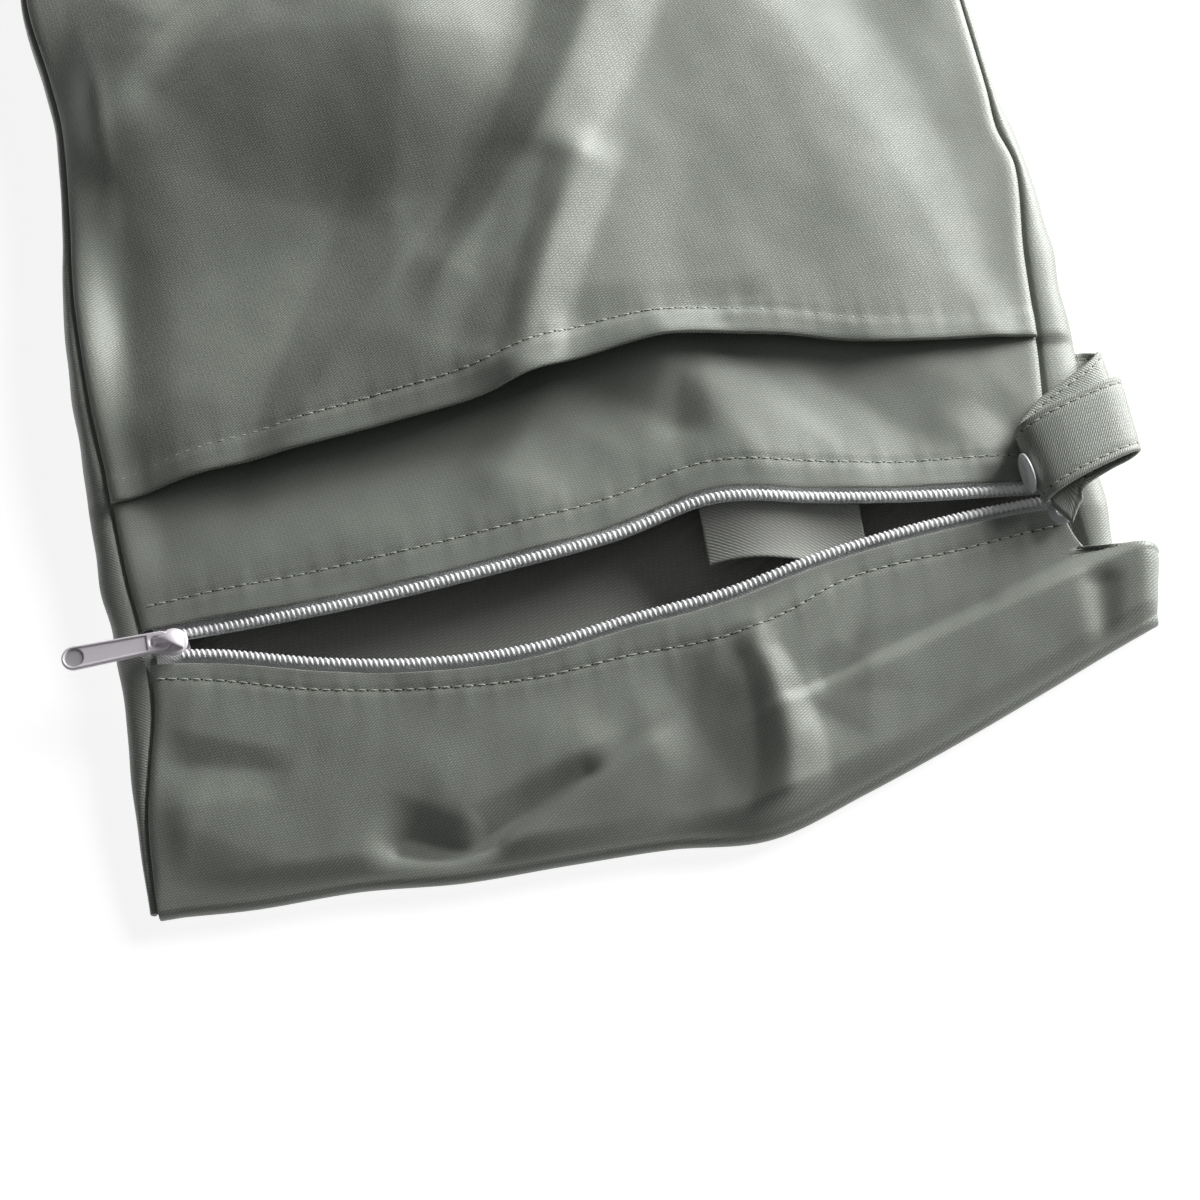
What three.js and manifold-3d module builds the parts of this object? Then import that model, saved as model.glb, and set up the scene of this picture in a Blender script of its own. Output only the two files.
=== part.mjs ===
// Cloth diaper wet bag, lying on its back: a flat zip pouch of laminated polyester with side gussets, a slip
// pocket on the front, a half open coil zip across the near end and a snap strap sewn in the right side seam.
// Millimetres. X runs across the bag (the slider is at -X, the strap at +X), Y runs along it (the zip end is
// at -Y), Z is up. The origin is the middle of the flat back face that the bag lies on.
import * as THREE from "three";
import { mergeVertices } from "three/addons/utils/BufferGeometryUtils.js";
import Module from "manifold-3d";

const wasm = await Module();
wasm.setup();

// Sizes of the whole bag
const bagWidth = 300;
const bagLength = 400;
const loft = 18; // the front panel's crown above the flat seam at the far end
const pocketPuff = 7.5; // how far the slip pocket gapes off the front panel
const wall = 1.2; // laminated cloth
const gap = 0.3; // between neighbouring pieces
const slack = 0.3; // more room where one cloth slopes over another
const noseRadius = 2.4; // the soft fold at the zip end
const hemDepth = 8.5; // the pocket's doubled hem

// Sizes of the zip
const tapeThickness = 0.6;
const tapeWidth = 11;
const tapeReveal = 1.3; // bare tape between the cloth and the coil
const coilWidth = 3;
const coilHeight = 2.2;
const sliderLength = 11;
const sliderWidth = 8.6;
const sliderPlate = 1;
const crownThickness = 1.2;
const crownWidth = 2.4;
const pullLength = 32;
const pullWidth = 7.5;
const pullThickness = 1.6;
const pullTilt = 5; // degrees that the pull leans down over the bag's edge
const pullRim = 0.9;
const pullRecess = 0.3;

// Sizes of the strap and its snap
const strapWidth = 25;
const strapThickness = 1.6;
const capDiameter = 12.4;
const capThickness = 1.5;
const socketDiameter = 8;
const socketThickness = 1.8;

const halfWidth = bagWidth / 2;
const halfLength = bagLength / 2;
const rest = wall + gap + wall / 2; // middle of a front cloth that lies flat on the back panel

// Colours, as seen in soft daylight
const clothColour = 0x868a83;
const liningColour = 0x9a9c96;
const nylonColour = 0xe9e9ec;
const plasticColour = 0xdcd6de;

// Sections along the bag. v is the place as a share of the half length. left and right are the front seams,
// leftBulge and rightBulge how far the gussets show beyond them, as shares of the half width. side and crown
// are the front's height at its seams and in its middle, as shares of the loft.
const SECTIONS = [
  { v: -1.02, left: -0.986, right: 0.93, leftBulge: 0.004, rightBulge: 0.02, side: 0.6, crown: 0.98 },
  { v: -0.855, left: -0.98, right: 0.932, leftBulge: 0.013, rightBulge: 0.035, side: 0.6, crown: 0.98 },
  { v: -0.765, left: -0.96, right: 0.931, leftBulge: 0.034, rightBulge: 0.045, side: 0.6, crown: 0.98 },
  { v: -0.675, left: -0.937, right: 0.927, leftBulge: 0.052, rightBulge: 0.054, side: 0.6, crown: 0.98 },
  { v: -0.575, left: -0.941, right: 0.916, leftBulge: 0.053, rightBulge: 0.074, side: 0.6, crown: 0.98 },
  { v: -0.465, left: -0.96, right: 0.912, leftBulge: 0.046, rightBulge: 0.082, side: 0.6, crown: 0.96 },
  { v: -0.325, left: -0.973, right: 0.934, leftBulge: 0.038, rightBulge: 0.07, side: 0.62, crown: 0.9 },
  { v: -0.175, left: -0.99, right: 0.952, leftBulge: 0.028, rightBulge: 0.06, side: 0.66, crown: 0.9 },
  { v: -0.025, left: -0.996, right: 0.98, leftBulge: 0.02, rightBulge: 0.026, side: 0.68, crown: 0.9 },
  { v: 0.05, left: -0.993, right: 0.962, leftBulge: 0.014, rightBulge: 0.033, side: 0.68, crown: 0.9 },
  { v: 0.12, left: -0.986, right: 0.963, leftBulge: 0.012, rightBulge: 0.016, side: 0.68, crown: 0.9 },
  { v: 0.3, left: -0.978, right: 0.957, leftBulge: 0.008, rightBulge: 0.013, side: 0.66, crown: 0.9 },
  { v: 0.4, left: -0.992, right: 0.957, leftBulge: 0.007, rightBulge: 0.012, side: 0.64, crown: 0.88 },
  { v: 0.56, left: -1.022, right: 0.96, leftBulge: 0.006, rightBulge: 0.012, side: 0.58, crown: 0.85 },
  { v: 0.8, left: -1.0, right: 0.975, leftBulge: 0.01, rightBulge: 0.015, side: 0.4, crown: 0.62 },
  { v: 0.92, left: -0.985, right: 0.982, leftBulge: 0.01, rightBulge: 0.012, side: 0.2, crown: 0.34 },
  { v: 1, left: -0.975, right: 0.98, leftBulge: 0, rightBulge: 0, side: 0, crown: 0 },
];

// Lines across the bag. u is the place as a share of the half width. hem, upper, lower and end are where the
// pocket's hem, the two zip coils and the end fold run, as shares of the half length. lipRise is the lower
// zip lip's height as a share of the loft, and puff the share of the pocket's puff under the hem.
const LINES = [
  { u: -0.94, hem: -0.353, upper: -0.576, lower: -0.602, end: -0.987, lipRise: 0.6, puff: 0.1 },
  { u: -0.8, hem: -0.339, upper: -0.577, lower: -0.618, end: -0.994, lipRise: 0.62, puff: 0.7 },
  { u: -0.6, hem: -0.33, upper: -0.581, lower: -0.659, end: -0.994, lipRise: 0.65, puff: 1 },
  { u: -0.4, hem: -0.317, upper: -0.575, lower: -0.686, end: -1.007, lipRise: 0.68, puff: 1 },
  { u: -0.2, hem: -0.302, upper: -0.562, lower: -0.692, end: -1.007, lipRise: 0.71, puff: 0.95 },
  { u: 0, hem: -0.268, upper: -0.545, lower: -0.673, end: -1.009, lipRise: 0.74, puff: 0.9 },
  { u: 0.2, hem: -0.253, upper: -0.514, lower: -0.657, end: -1.02, lipRise: 0.77, puff: 0.85 },
  { u: 0.4, hem: -0.271, upper: -0.533, lower: -0.626, end: -0.975, lipRise: 0.82, puff: 0.7 },
  { u: 0.6, hem: -0.303, upper: -0.552, lower: -0.604, end: -0.922, lipRise: 0.77, puff: 0.5 },
  { u: 0.8, hem: -0.315, upper: -0.564, lower: -0.591, end: -0.864, lipRise: 0.66, puff: 0.3 },
  { u: 0.94, hem: -0.32, upper: -0.568, lower: -0.588, end: -0.822, lipRise: 0.6, puff: 0.1 },
  { u: 1.06, hem: -0.32, upper: -0.568, lower: -0.588, end: -0.788, lipRise: 0.6, puff: 0.1 },
];

// The boxed corner that stands out as an ear beyond the right seam, beside the folded end: how far it stands
// out, as a share of the half width, at each place along the bag.
const EAR = [
  { v: -0.84, out: 0.1 },
  { v: -0.79, out: 0.113 },
  { v: -0.735, out: 0.132 },
  { v: -0.69, out: 0.148 },
  { v: -0.679, out: 0.138 },
  { v: -0.669, out: 0 },
  { v: -0.5, out: 0 },
];

// Folds of the cloth: each is a ridge (or a valley, where it sinks) along a bowed line from u0, v0 to u1, v1.
// from and to are its heights at the two ends as shares of the loft. left and right are the widths of its two
// flanks, looking along it, and bow is how far its middle swings to the left, as shares of the half width.
const crestRounding = 0.16; // of a fold's crest, as a share of its flank
const footRounding = 0.12;
const POCKET_FOLDS = [
  { u0: -0.225, v0: -0.075, u1: 0.2, v1: 0.42, bow: -0.05, from: 0.18, to: 0.3, left: 0.11, right: 0.13 },
  { u0: -0.2, v0: -0.05, u1: 0.2, v1: 0.42, bow: -0.05, from: 0.1, to: 0.12, left: 0.14, right: 0.4 },
  { u0: -0.13, v0: -0.26, u1: 0.068, v1: 0.053, bow: 0.01, from: 0.22, to: 0.2, left: 0.11, right: 0.08 },
  { u0: -0.13, v0: -0.26, u1: 0.068, v1: 0.053, bow: 0.01, from: 0.26, to: 0.16, left: 0.34, right: 0.3 },
  { u0: -0.154, v0: -0.218, u1: -0.011, v1: 0.054, bow: 0, from: -0.08, to: -0.08, left: 0.12, right: 0.05 },
  { u0: 0.484, v0: 0.36, u1: 0.66, v1: -0.14, bow: 0, from: 0.12, to: 0.06, left: 0.26, right: 0.3 },
  { u0: 0.68, v0: 0.42, u1: 0.91, v1: -0.17, bow: 0.05, from: -0.18, to: -0.1, left: 0.14, right: 0.2 },
  { u0: -0.775, v0: 0.44, u1: -0.976, v1: 0.3, bow: 0.01, from: 0.14, to: 0.14, left: 0.08, right: 0.14 },
  { u0: -0.98, v0: 0.26, u1: -0.94, v1: 0.18, bow: 0, from: -0.12, to: -0.12, left: 0.06, right: 0.06 },
  { u0: -0.546, v0: 0.463, u1: -0.76, v1: 0.322, bow: 0, from: -0.18, to: -0.14, left: 0.14, right: 0.08 },
  { u0: 0, v0: -0.205, u1: 0.34, v1: -0.2, bow: 0, from: -0.06, to: -0.04, left: 0.06, right: 0.05 },
];
const FRONT_FOLDS = [
  { u0: -0.9, v0: 0.262, u1: -0.27, v1: 0.33, bow: 0.01, from: 0.4, to: 0.54, left: 0.42, right: 0.4 },
  { u0: -0.26, v0: 0.33, u1: -0.317, v1: 0.071, bow: 0, from: 0.3, to: 0.14, left: 0.22, right: 0.56 },
  { u0: -0.86, v0: 0.26, u1: -0.88, v1: -0.06, bow: 0, from: -0.12, to: -0.14, left: 0.5, right: 0.1 },
  { u0: -0.95, v0: -0.07, u1: -0.31, v1: 0.085, bow: 0.02, from: -0.34, to: -0.46, left: 0.4, right: 0.28 },
  { u0: -0.44, v0: 0.063, u1: -0.66, v1: -0.266, bow: 0, from: -0.26, to: -0.12, left: 0.16, right: 0.32 },
  { u0: -0.94, v0: -0.41, u1: -0.12, v1: -0.35, bow: 0.02, from: -0.14, to: -0.22, left: 0.3, right: 0.16 },
  { u0: -0.06, v0: -0.27, u1: -0.19, v1: -0.41, bow: 0, from: 0.08, to: 0.12, left: 0.14, right: 0.08 },
  { u0: 0.18, v0: -0.26, u1: 0.306, v1: -0.452, bow: 0, from: 0.14, to: 0.2, left: 0.14, right: 0.2 },
  { u0: 0.2, v0: -0.29, u1: 0.17, v1: -0.38, bow: 0, from: -0.04, to: -0.06, left: 0.06, right: 0.05 },
  { u0: 0.02, v0: -0.29, u1: 0.17, v1: -0.38, bow: 0, from: -0.1, to: -0.1, left: 0.09, right: 0.09 },
  { u0: 0.5, v0: -0.355, u1: 0.63, v1: -0.44, bow: 0, from: -0.12, to: -0.14, left: 0.12, right: 0.12 },
  { u0: 0.8, v0: -0.43, u1: 0.87, v1: -0.5, bow: 0, from: -0.06, to: -0.08, left: 0.08, right: 0.08 },
];
const BAND_FOLDS = [
  { u0: 0.235, v0: -0.75, u1: 0.214, v1: -1.03, bow: 0.04, from: 0.1, to: 0.2, left: 0.08, right: 0.07 },
  { u0: 0.255, v0: -0.82, u1: 0.214, v1: -1.03, bow: 0.02, from: 0.2, to: 0.3, left: 0.4, right: 0.2 },
  { u0: 0.07, v0: -0.8, u1: 0.14, v1: -0.92, bow: 0, from: -0.06, to: -0.12, left: 0.16, right: 0.12 },
  { u0: 0.42, v0: -0.77, u1: 0.33, v1: -0.85, bow: 0, from: -0.06, to: -0.14, left: 0.1, right: 0.08 },
  { u0: -0.37, v0: -1.01, u1: -0.01, v1: -0.87, bow: 0, from: 0.14, to: 0.1, left: 0.04, right: 0.14 },
  { u0: -0.33, v0: -0.955, u1: -0.14, v1: -0.89, bow: 0, from: -0.18, to: -0.1, left: 0.06, right: 0.04 },
  { u0: -0.36, v0: -0.925, u1: -0.13, v1: -0.855, bow: 0.02, from: 0.12, to: 0.1, left: 0.14, right: 0.05 },
  { u0: -0.5, v0: -0.95, u1: -0.38, v1: -1, bow: 0, from: -0.26, to: -0.24, left: 0.08, right: 0.07 },
  { u0: -0.88, v0: -0.875, u1: -0.55, v1: -0.975, bow: -0.02, from: 0.12, to: 0.12, left: 0.3, right: 0.1 },
  { u0: -0.93, v0: -0.77, u1: -0.76, v1: -0.8, bow: 0, from: -0.12, to: -0.08, left: 0.06, right: 0.08 },
  { u0: 0.34, v0: -0.83, u1: 1.02, v1: -0.69, bow: 0, from: 0.1, to: 0.22, left: 0.04, right: 0.26 },
  { u0: 0.36, v0: -0.812, u1: 0.7, v1: -0.735, bow: 0, from: -0.05, to: -0.03, left: 0.05, right: 0.03 },
  { u0: 0.94, v0: -0.73, u1: 0.925, v1: -0.83, bow: 0, from: -0.12, to: -0.08, left: 0.04, right: 0.04 },
];

// The strap's folded path, from its seam in the gusset to its pointed tip. out and along are the places of
// its middle line from the seam, up is its height over the floor, and wide is its width, as shares of the
// strap's width. turn is how far its width line is turned from the bag's length, in degrees.
const STRAP_PATH = [
  { out: 0, along: 0, up: 0.33, turn: 4, wide: 1 },
  { out: 0.18, along: 0, up: 0.33, turn: 4, wide: 1 },
  { out: 0.33, along: -0.07, up: 0.42, turn: 4, wide: 1 },
  { out: 0.3, along: -0.12, up: 0.56, turn: 4, wide: 1 },
  { out: 0.15, along: -0.26, up: 0.63, turn: 4, wide: 1 },
  { out: -0.2, along: -0.47, up: 0.66, turn: 5, wide: 1 },
  { out: -0.6, along: -0.7, up: 0.66, turn: 6, wide: 1 },
  { out: -0.88, along: -0.98, up: 0.68, turn: 8, wide: 1 },
  { out: -0.94, along: -1.09, up: 0.76, turn: 9, wide: 1 },
  { out: -0.965, along: -1.12, up: 0.88, turn: 9, wide: 1 },
  { out: -0.945, along: -1.12, up: 0.99, turn: 9, wide: 1 },
  { out: -0.86, along: -1.09, up: 1.08, turn: 8, wide: 1 },
  { out: -0.6, along: -0.99, up: 1.14, turn: 7, wide: 1 },
  { out: -0.2, along: -0.86, up: 1.14, turn: 5, wide: 1 },
  { out: 0.15, along: -0.75, up: 1.09, turn: 3, wide: 1 },
  { out: 0.3, along: -0.7, up: 1.01, turn: 1, wide: 1 },
  { out: 0.32, along: -0.69, up: 0.93, turn: 1, wide: 1 },
  { out: 0.22, along: -0.73, up: 0.87, turn: 2, wide: 1 },
  { out: -0.1, along: -0.83, up: 0.85, turn: 5, wide: 1 },
  { out: -0.5, along: -1.01, up: 0.84, turn: 12, wide: 1 },
  { out: -0.63, along: -1.23, up: 0.81, turn: 25, wide: 0.9 },
  { out: -0.72, along: -1.75, up: 0.76, turn: 34, wide: 0.33 },
];
const strapRoot = -0.4075; // where the strap is sewn to the right gusset, as a share of the half length

// The value of a table's column at a place, joined through the rows by a smooth cubic
function tableValue(table, key, place, column) {
  const last = table.length - 1;
  if (place <= table[0][key]) return table[0][column];
  if (place >= table[last][key]) return table[last][column];
  const next = table.findIndex((row) => row[key] >= place);
  const slope = (index) => {
    const before = table[Math.max(index - 1, 0)];
    const after = table[Math.min(index + 1, last)];
    return (after[column] - before[column]) / (after[key] - before[key]);
  };
  const from = table[next - 1];
  const to = table[next];
  const span = to[key] - from[key];
  const t = (place - from[key]) / span;
  const curve = 3 * t * t - 2 * t * t * t;
  const leave = slope(next - 1) * span * (t - 2 * t * t + t * t * t);
  const arrive = slope(next) * span * (t * t * t - t * t);
  return from[column] * (1 - curve) + to[column] * curve + leave + arrive;
}

const section = (y, column) => tableValue(SECTIONS, "v", y / halfLength, column);
const line = (x, column) => halfLength * tableValue(LINES, "u", x / halfWidth, column);
const share = (x, column) => tableValue(LINES, "u", x / halfWidth, column);
const smooth = (low, high, value) => THREE.MathUtils.smoothstep(value, low, high);
const blend = THREE.MathUtils.lerp;
const seamX = (side, y) => halfWidth * section(y, side);

// A fold's cross-section: a tent from 1 at its crest to 0 at 1 aside, with both rounded
function crease(aside) {
  const tent = 1 + crestRounding - Math.hypot(crestRounding, aside);
  return (tent + Math.hypot(tent, footRounding)) / 2;
}

// The height that a list of folds adds at x, y. Like a cone, a fold is as much narrower than its flanks as it
// is lower than its highest point, and it fades past its ends.
function foldHeight(folds, x, y) {
  let height = 0;
  for (const fold of folds) {
    const x0 = fold.u0 * halfWidth;
    const y0 = fold.v0 * halfLength;
    const dx = fold.u1 * halfWidth - x0;
    const dy = fold.v1 * halfLength - y0;
    const length = Math.hypot(dx, dy);
    const t = ((x - x0) * dx + (y - y0) * dy) / (length * length);
    const inside = THREE.MathUtils.clamp(t, 0, 1);
    const bowed = 4 * inside * (1 - inside) * fold.bow * halfWidth;
    const aside = ((y - y0) * dx - (x - x0) * dy) / length - bowed;
    const rise = blend(fold.from, fold.to, inside);
    const narrowed = Math.abs(rise) / Math.max(Math.abs(fold.from), Math.abs(fold.to));
    const flank = (aside > 0 ? fold.left : fold.right) * halfWidth * narrowed;
    const past = ((t - inside) * length * 3) / ((fold.left + fold.right) * halfWidth);
    height += loft * rise * crease(aside / flank) * Math.exp(-past * past);
  }
  return height;
}

// Where x lies between the two front seams, from -1 to 1
function acrossShare(x, y) {
  const left = seamX("left", y);
  const right = seamX("right", y);
  return THREE.MathUtils.clamp((2 * x - left - right) / (right - left), -1, 1);
}

const seamFade = (x, y) => 1 - smooth(0.9, 1, Math.abs(acrossShare(x, y)));

// Height of the front panel's middle surface: a crown between the seams, and its folds
function frontHeight(x, y) {
  const side = section(y, "side");
  const crown = section(y, "crown");
  const swell = 1 - Math.abs(acrossShare(x, y)) ** 2.2;
  return rest + loft * (side + (crown - side) * swell) + seamFade(x, y) * foldHeight(FRONT_FOLDS, x, y);
}

// Height of the slip pocket: it lies on the front panel at the seams and the far end, and gapes at its hem
function pocketHeight(x, y) {
  const opening = 1 - smooth(0.1, 0.92, y / halfLength);
  const puff = pocketPuff * share(x, "puff") * opening;
  const folds = foldHeight(POCKET_FOLDS, x, y) * (1 - smooth(0.6, 0.95, y / halfLength));
  const swell = seamFade(x, y) * (puff + folds);
  const lifted = (swell + Math.hypot(swell, 2 * slack)) / 2;
  return frontHeight(x, y) + wall + gap + slack + lifted;
}

const lipInset = coilWidth / 2 + tapeReveal; // from the middle of a coil to the cloth's edge
const upperLip = (x) => line(x, "upper") + lipInset;
const lowerLip = (x) => line(x, "lower") - lipInset;
const noseStart = (x) => line(x, "end") + noseRadius;
const noseTop = wall / 2 + 2 * noseRadius;

// Height of the band between the zip and the end fold: it falls from the lip to the fold
function bandHeight(x, y) {
  const run = THREE.MathUtils.clamp((y - noseStart(x)) / (lowerLip(x) - noseStart(x)), 0, 1);
  const lip = rest + loft * share(x, "lipRise");
  const free = smooth(0, 0.12, run) * (1 - smooth(0.86, 1, run)) * smooth(-1, -0.92, acrossShare(x, y));
  const folds = foldHeight(BAND_FOLDS, x, y) * free;
  return blend(noseTop, lip, run ** 0.8) + Math.max(folds, 0.4 * (rest - blend(noseTop, lip, run)));
}

// A point of a panel: across and run go from 0 to 1, between the seams and between the two edges
function panelPlace(across, run, nearEdge, farEdge, rightOut = () => 0) {
  let x = blend(-halfWidth, halfWidth, across);
  let y = 0;
  for (let pass = 0; pass < 6; pass++) {
    y = blend(nearEdge(x), farEdge(x), run);
    x = blend(seamX("left", y), seamX("right", y) + rightOut(y), across);
  }
  return { x, y };
}

// A mesh geometry from corner points and triangles, turned so that its faces point out
function closedGeometry(points, triangles) {
  const volume = (total, [a, b, c]) => total + points[a].dot(points[b].clone().cross(points[c]));
  const outward = triangles.reduce(volume, 0) > 0;
  const index = triangles.flatMap(([a, b, c]) => (outward ? [a, b, c] : [a, c, b]));
  const geometry = new THREE.BufferGeometry().setFromPoints(points);
  geometry.setIndex(index);
  geometry.computeVertexNormals();
  return geometry;
}

// A piece of cloth: the middle surface, on a grid of row and column shares, thickened to both sides
function clothGeometry(middle, rows, columns, thickness = () => wall) {
  const height = rows.length;
  const width = columns.length;
  const grid = rows.map((row) => columns.map((column) => middle(row, column)));
  const tops = [];
  const undersides = [];
  for (let i = 0; i < height; i++) {
    for (let j = 0; j < width; j++) {
      const along = grid[Math.min(i + 1, height - 1)][j].clone().sub(grid[Math.max(i - 1, 0)][j]);
      const across = grid[i][Math.min(j + 1, width - 1)].clone().sub(grid[i][Math.max(j - 1, 0)]);
      const normal = across.cross(along).normalize();
      const half = thickness(rows[i], columns[j]) / 2;
      tops.push(grid[i][j].clone().addScaledVector(normal, half));
      undersides.push(grid[i][j].clone().addScaledVector(normal, -half));
    }
  }
  const triangles = [];
  const quad = (a, b, c, d) => triangles.push([a, b, c], [a, c, d]);
  const top = (i, j) => i * width + j;
  const under = (i, j) => height * width + top(i, j);
  for (let i = 0; i < height - 1; i++) {
    for (let j = 0; j < width - 1; j++) {
      quad(top(i, j), top(i, j + 1), top(i + 1, j + 1), top(i + 1, j));
      quad(under(i, j), under(i + 1, j), under(i + 1, j + 1), under(i, j + 1));
    }
    quad(top(i, 0), top(i + 1, 0), under(i + 1, 0), under(i, 0));
    quad(top(i + 1, width - 1), top(i, width - 1), under(i, width - 1), under(i + 1, width - 1));
  }
  for (let j = 0; j < width - 1; j++) {
    quad(top(0, j + 1), top(0, j), under(0, j), under(0, j + 1));
    quad(top(height - 1, j), top(height - 1, j + 1), under(height - 1, j + 1), under(height - 1, j));
  }
  return closedGeometry([...tops, ...undersides], triangles);
}

// Even shares from 0 to 1, and shares that crowd towards one end
const even = (count) => Array.from({ length: count + 1 }, (_, index) => index / count);
const crowded = (count, power) => even(count).map((value) => value ** power);

// A round bar carried along a middle line, with flat ends
function barGeometry(middle, steps, barWidth, barHeight, sides) {
  const points = [];
  const triangles = [];
  for (let i = 0; i <= steps; i++) {
    const centre = middle(i / steps);
    for (let k = 0; k < sides; k++) {
      const angle = (2 * Math.PI * k) / sides;
      const beside = (barWidth / 2) * Math.cos(angle);
      const above = (barHeight / 2) * Math.sin(angle);
      points.push(centre.clone().add(new THREE.Vector3(0, beside, above)));
    }
  }
  for (let i = 0; i < steps; i++) {
    for (let k = 0; k < sides; k++) {
      const next = (k + 1) % sides;
      triangles.push([i * sides + k, i * sides + next, (i + 1) * sides + next]);
      triangles.push([i * sides + k, (i + 1) * sides + next, (i + 1) * sides + k]);
    }
  }
  for (let k = 1; k < sides - 1; k++) {
    triangles.push([0, k + 1, k]);
    triangles.push([steps * sides, steps * sides + k, steps * sides + k + 1]);
  }
  return closedGeometry(points, triangles);
}

function solid(geometry) {
  const bare = geometry.clone();
  bare.deleteAttribute("normal");
  bare.deleteAttribute("uv");
  const merged = mergeVertices(bare, 1e-4);
  const triVerts = new Uint32Array(merged.index.array);
  return new wasm.Manifold(
    new wasm.Mesh({ numProp: 3, vertProperties: merged.attributes.position.array, triVerts }),
  );
}

function geometryOf(manifold) {
  const mesh = manifold.getMesh();
  const geometry = new THREE.BufferGeometry();
  geometry.setAttribute("position", new THREE.BufferAttribute(mesh.vertProperties, 3));
  geometry.setIndex(new THREE.BufferAttribute(mesh.triVerts, 1));
  geometry.computeVertexNormals();
  return geometry;
}

// A flat plate whose outline goes round two circles on the X axis, at x0 and x1
function roundedPlate(x0, radius0, x1, radius1, bottom, top) {
  const lean = Math.acos((radius0 - radius1) / (x1 - x0));
  const shape = new THREE.Shape();
  shape.absarc(x1, 0, radius1, -lean, lean, false);
  shape.absarc(x0, 0, radius0, lean, 2 * Math.PI - lean, false);
  shape.closePath();
  const depth = top - bottom;
  const geometry = new THREE.ExtrudeGeometry(shape, { depth, bevelEnabled: false, curveSegments: 8 });
  return solid(geometry.translate(0, 0, bottom));
}

function block(width, depth, height, x, y, z) {
  return solid(new THREE.BoxGeometry(width, depth, height).translate(x, y, z));
}

// Materials: one for each piece, of the cloth, the nylon of the zip or moulded plastic
const clothFinish = { color: clothColour, roughness: 0.62, metalness: 0 };
const liningFinish = { color: liningColour, roughness: 0.7, metalness: 0 };
const nylonFinish = { color: nylonColour, roughness: 0.4, metalness: 0 };
const plasticFinish = { color: plasticColour, roughness: 0.28, metalness: 0 };

const bag = new THREE.Group();

function addPiece(name, geometry, finish, parent = bag) {
  const mesh = new THREE.Mesh(geometry, new THREE.MeshStandardMaterial(finish));
  mesh.name = name;
  parent.add(mesh);
  return mesh;
}

// Back panel: one flat cloth under the whole bag, from the end fold to the far seam
function backPanel() {
  const nearEdge = (x) => line(x, "end") + noseRadius + gap + 2 * slack;
  const middle = (run, across) => {
    const out = (y) => halfWidth * tableValue(EAR, "v", y / halfLength, "out");
    const place = panelPlace(across, run, nearEdge, () => halfLength, out);
    return new THREE.Vector3(place.x, place.y, wall / 2);
  };
  return clothGeometry(middle, [0, 0.025, 0.05, 0.056, 0.062, 0.09, ...even(8).slice(1)], even(12));
}

// Front panel: from the upper zip lip, on under the pocket, to the far seam
function frontPanel() {
  const middle = (run, across) => {
    const place = panelPlace(across, run, upperLip, () => halfLength);
    return new THREE.Vector3(place.x, place.y, frontHeight(place.x, place.y));
  };
  return clothGeometry(middle, crowded(15, 1.3), even(22));
}

// Slip pocket: from its doubled hem to the far seam
function pocketPanel() {
  const hemShare = hemDepth / (halfLength * (1 - LINES[0].hem));
  const middle = (run, across) => {
    const place = panelPlace(across, run, (x) => line(x, "hem"), () => halfLength);
    return new THREE.Vector3(place.x, place.y, pocketHeight(place.x, place.y));
  };
  const rows = [0, hemShare, ...crowded(20, 1.2).slice(2)];
  return clothGeometry(middle, rows, even(24), (run) => (run <= hemShare ? wall + 2 * slack : wall));
}

// Band between the zip and the end: it wraps round the end in a soft fold, with an ear at its right corner
function topBand() {
  const noseSteps = 4;
  const panelRun = 0.86;
  const middle = (run, across) => {
    const earOut = (y) => halfWidth * tableValue(EAR, "v", y / halfLength, "out");
    const place = panelPlace(across, Math.min(run / panelRun, 1), lowerLip, noseStart, earOut);
    if (run <= panelRun) return new THREE.Vector3(place.x, place.y, bandHeight(place.x, place.y));
    const turn = ((run - panelRun) / (1 - panelRun)) * Math.PI;
    const drop = noseRadius * (1 - Math.cos(turn));
    return new THREE.Vector3(place.x, place.y - noseRadius * Math.sin(turn), noseTop - drop);
  };
  const panelRows = even(19).map((value) => value * panelRun);
  const noseRows = even(noseSteps).slice(1).map((value) => panelRun + value * (1 - panelRun));
  return clothGeometry(middle, [...panelRows, ...noseRows], even(28));
}

// Height of the cloth at a side seam, also beside the zip's end, where neither panel reaches
function seamHeight(x, y) {
  const upper = upperLip(x);
  const lower = lowerLip(x);
  if (y >= upper) return frontHeight(x, y);
  if (y <= lower) return bandHeight(x, y);
  return blend(bandHeight(x, lower), frontHeight(x, upper), (y - lower) / (upper - lower));
}

// Side gusset: a strip from the back panel's edge up to the front seam, bulging out between them
function gusset(side, nearShare, farShare) {
  const outward = side === "left" ? -1 : 1;
  const middle = (run, rise) => {
    const y = halfLength * blend(nearShare, farShare, run);
    const x = seamX(side, y) - outward * (wall / 2 + slack);
    const top = seamHeight(x, y) - wall - gap;
    const bulge = outward * halfWidth * section(y, side + "Bulge") * Math.sin(Math.PI * rise) ** 2;
    return new THREE.Vector3(x + bulge * 1.1, y, blend(wall + gap + slack, top, rise));
  };
  return clothGeometry(middle, even(26), even(4));
}

const tapeDrop = wall / 2 + tapeThickness / 2 + gap + slack;

// Height of the middle of a zip tape under the lip that it is sewn to
function lipTapeHeight(which, x, y) {
  if (which === "upper") return frontHeight(x, Math.max(y, upperLip(x))) - tapeDrop;
  return bandHeight(x, Math.min(y, lowerLip(x))) - tapeDrop;
}

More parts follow.
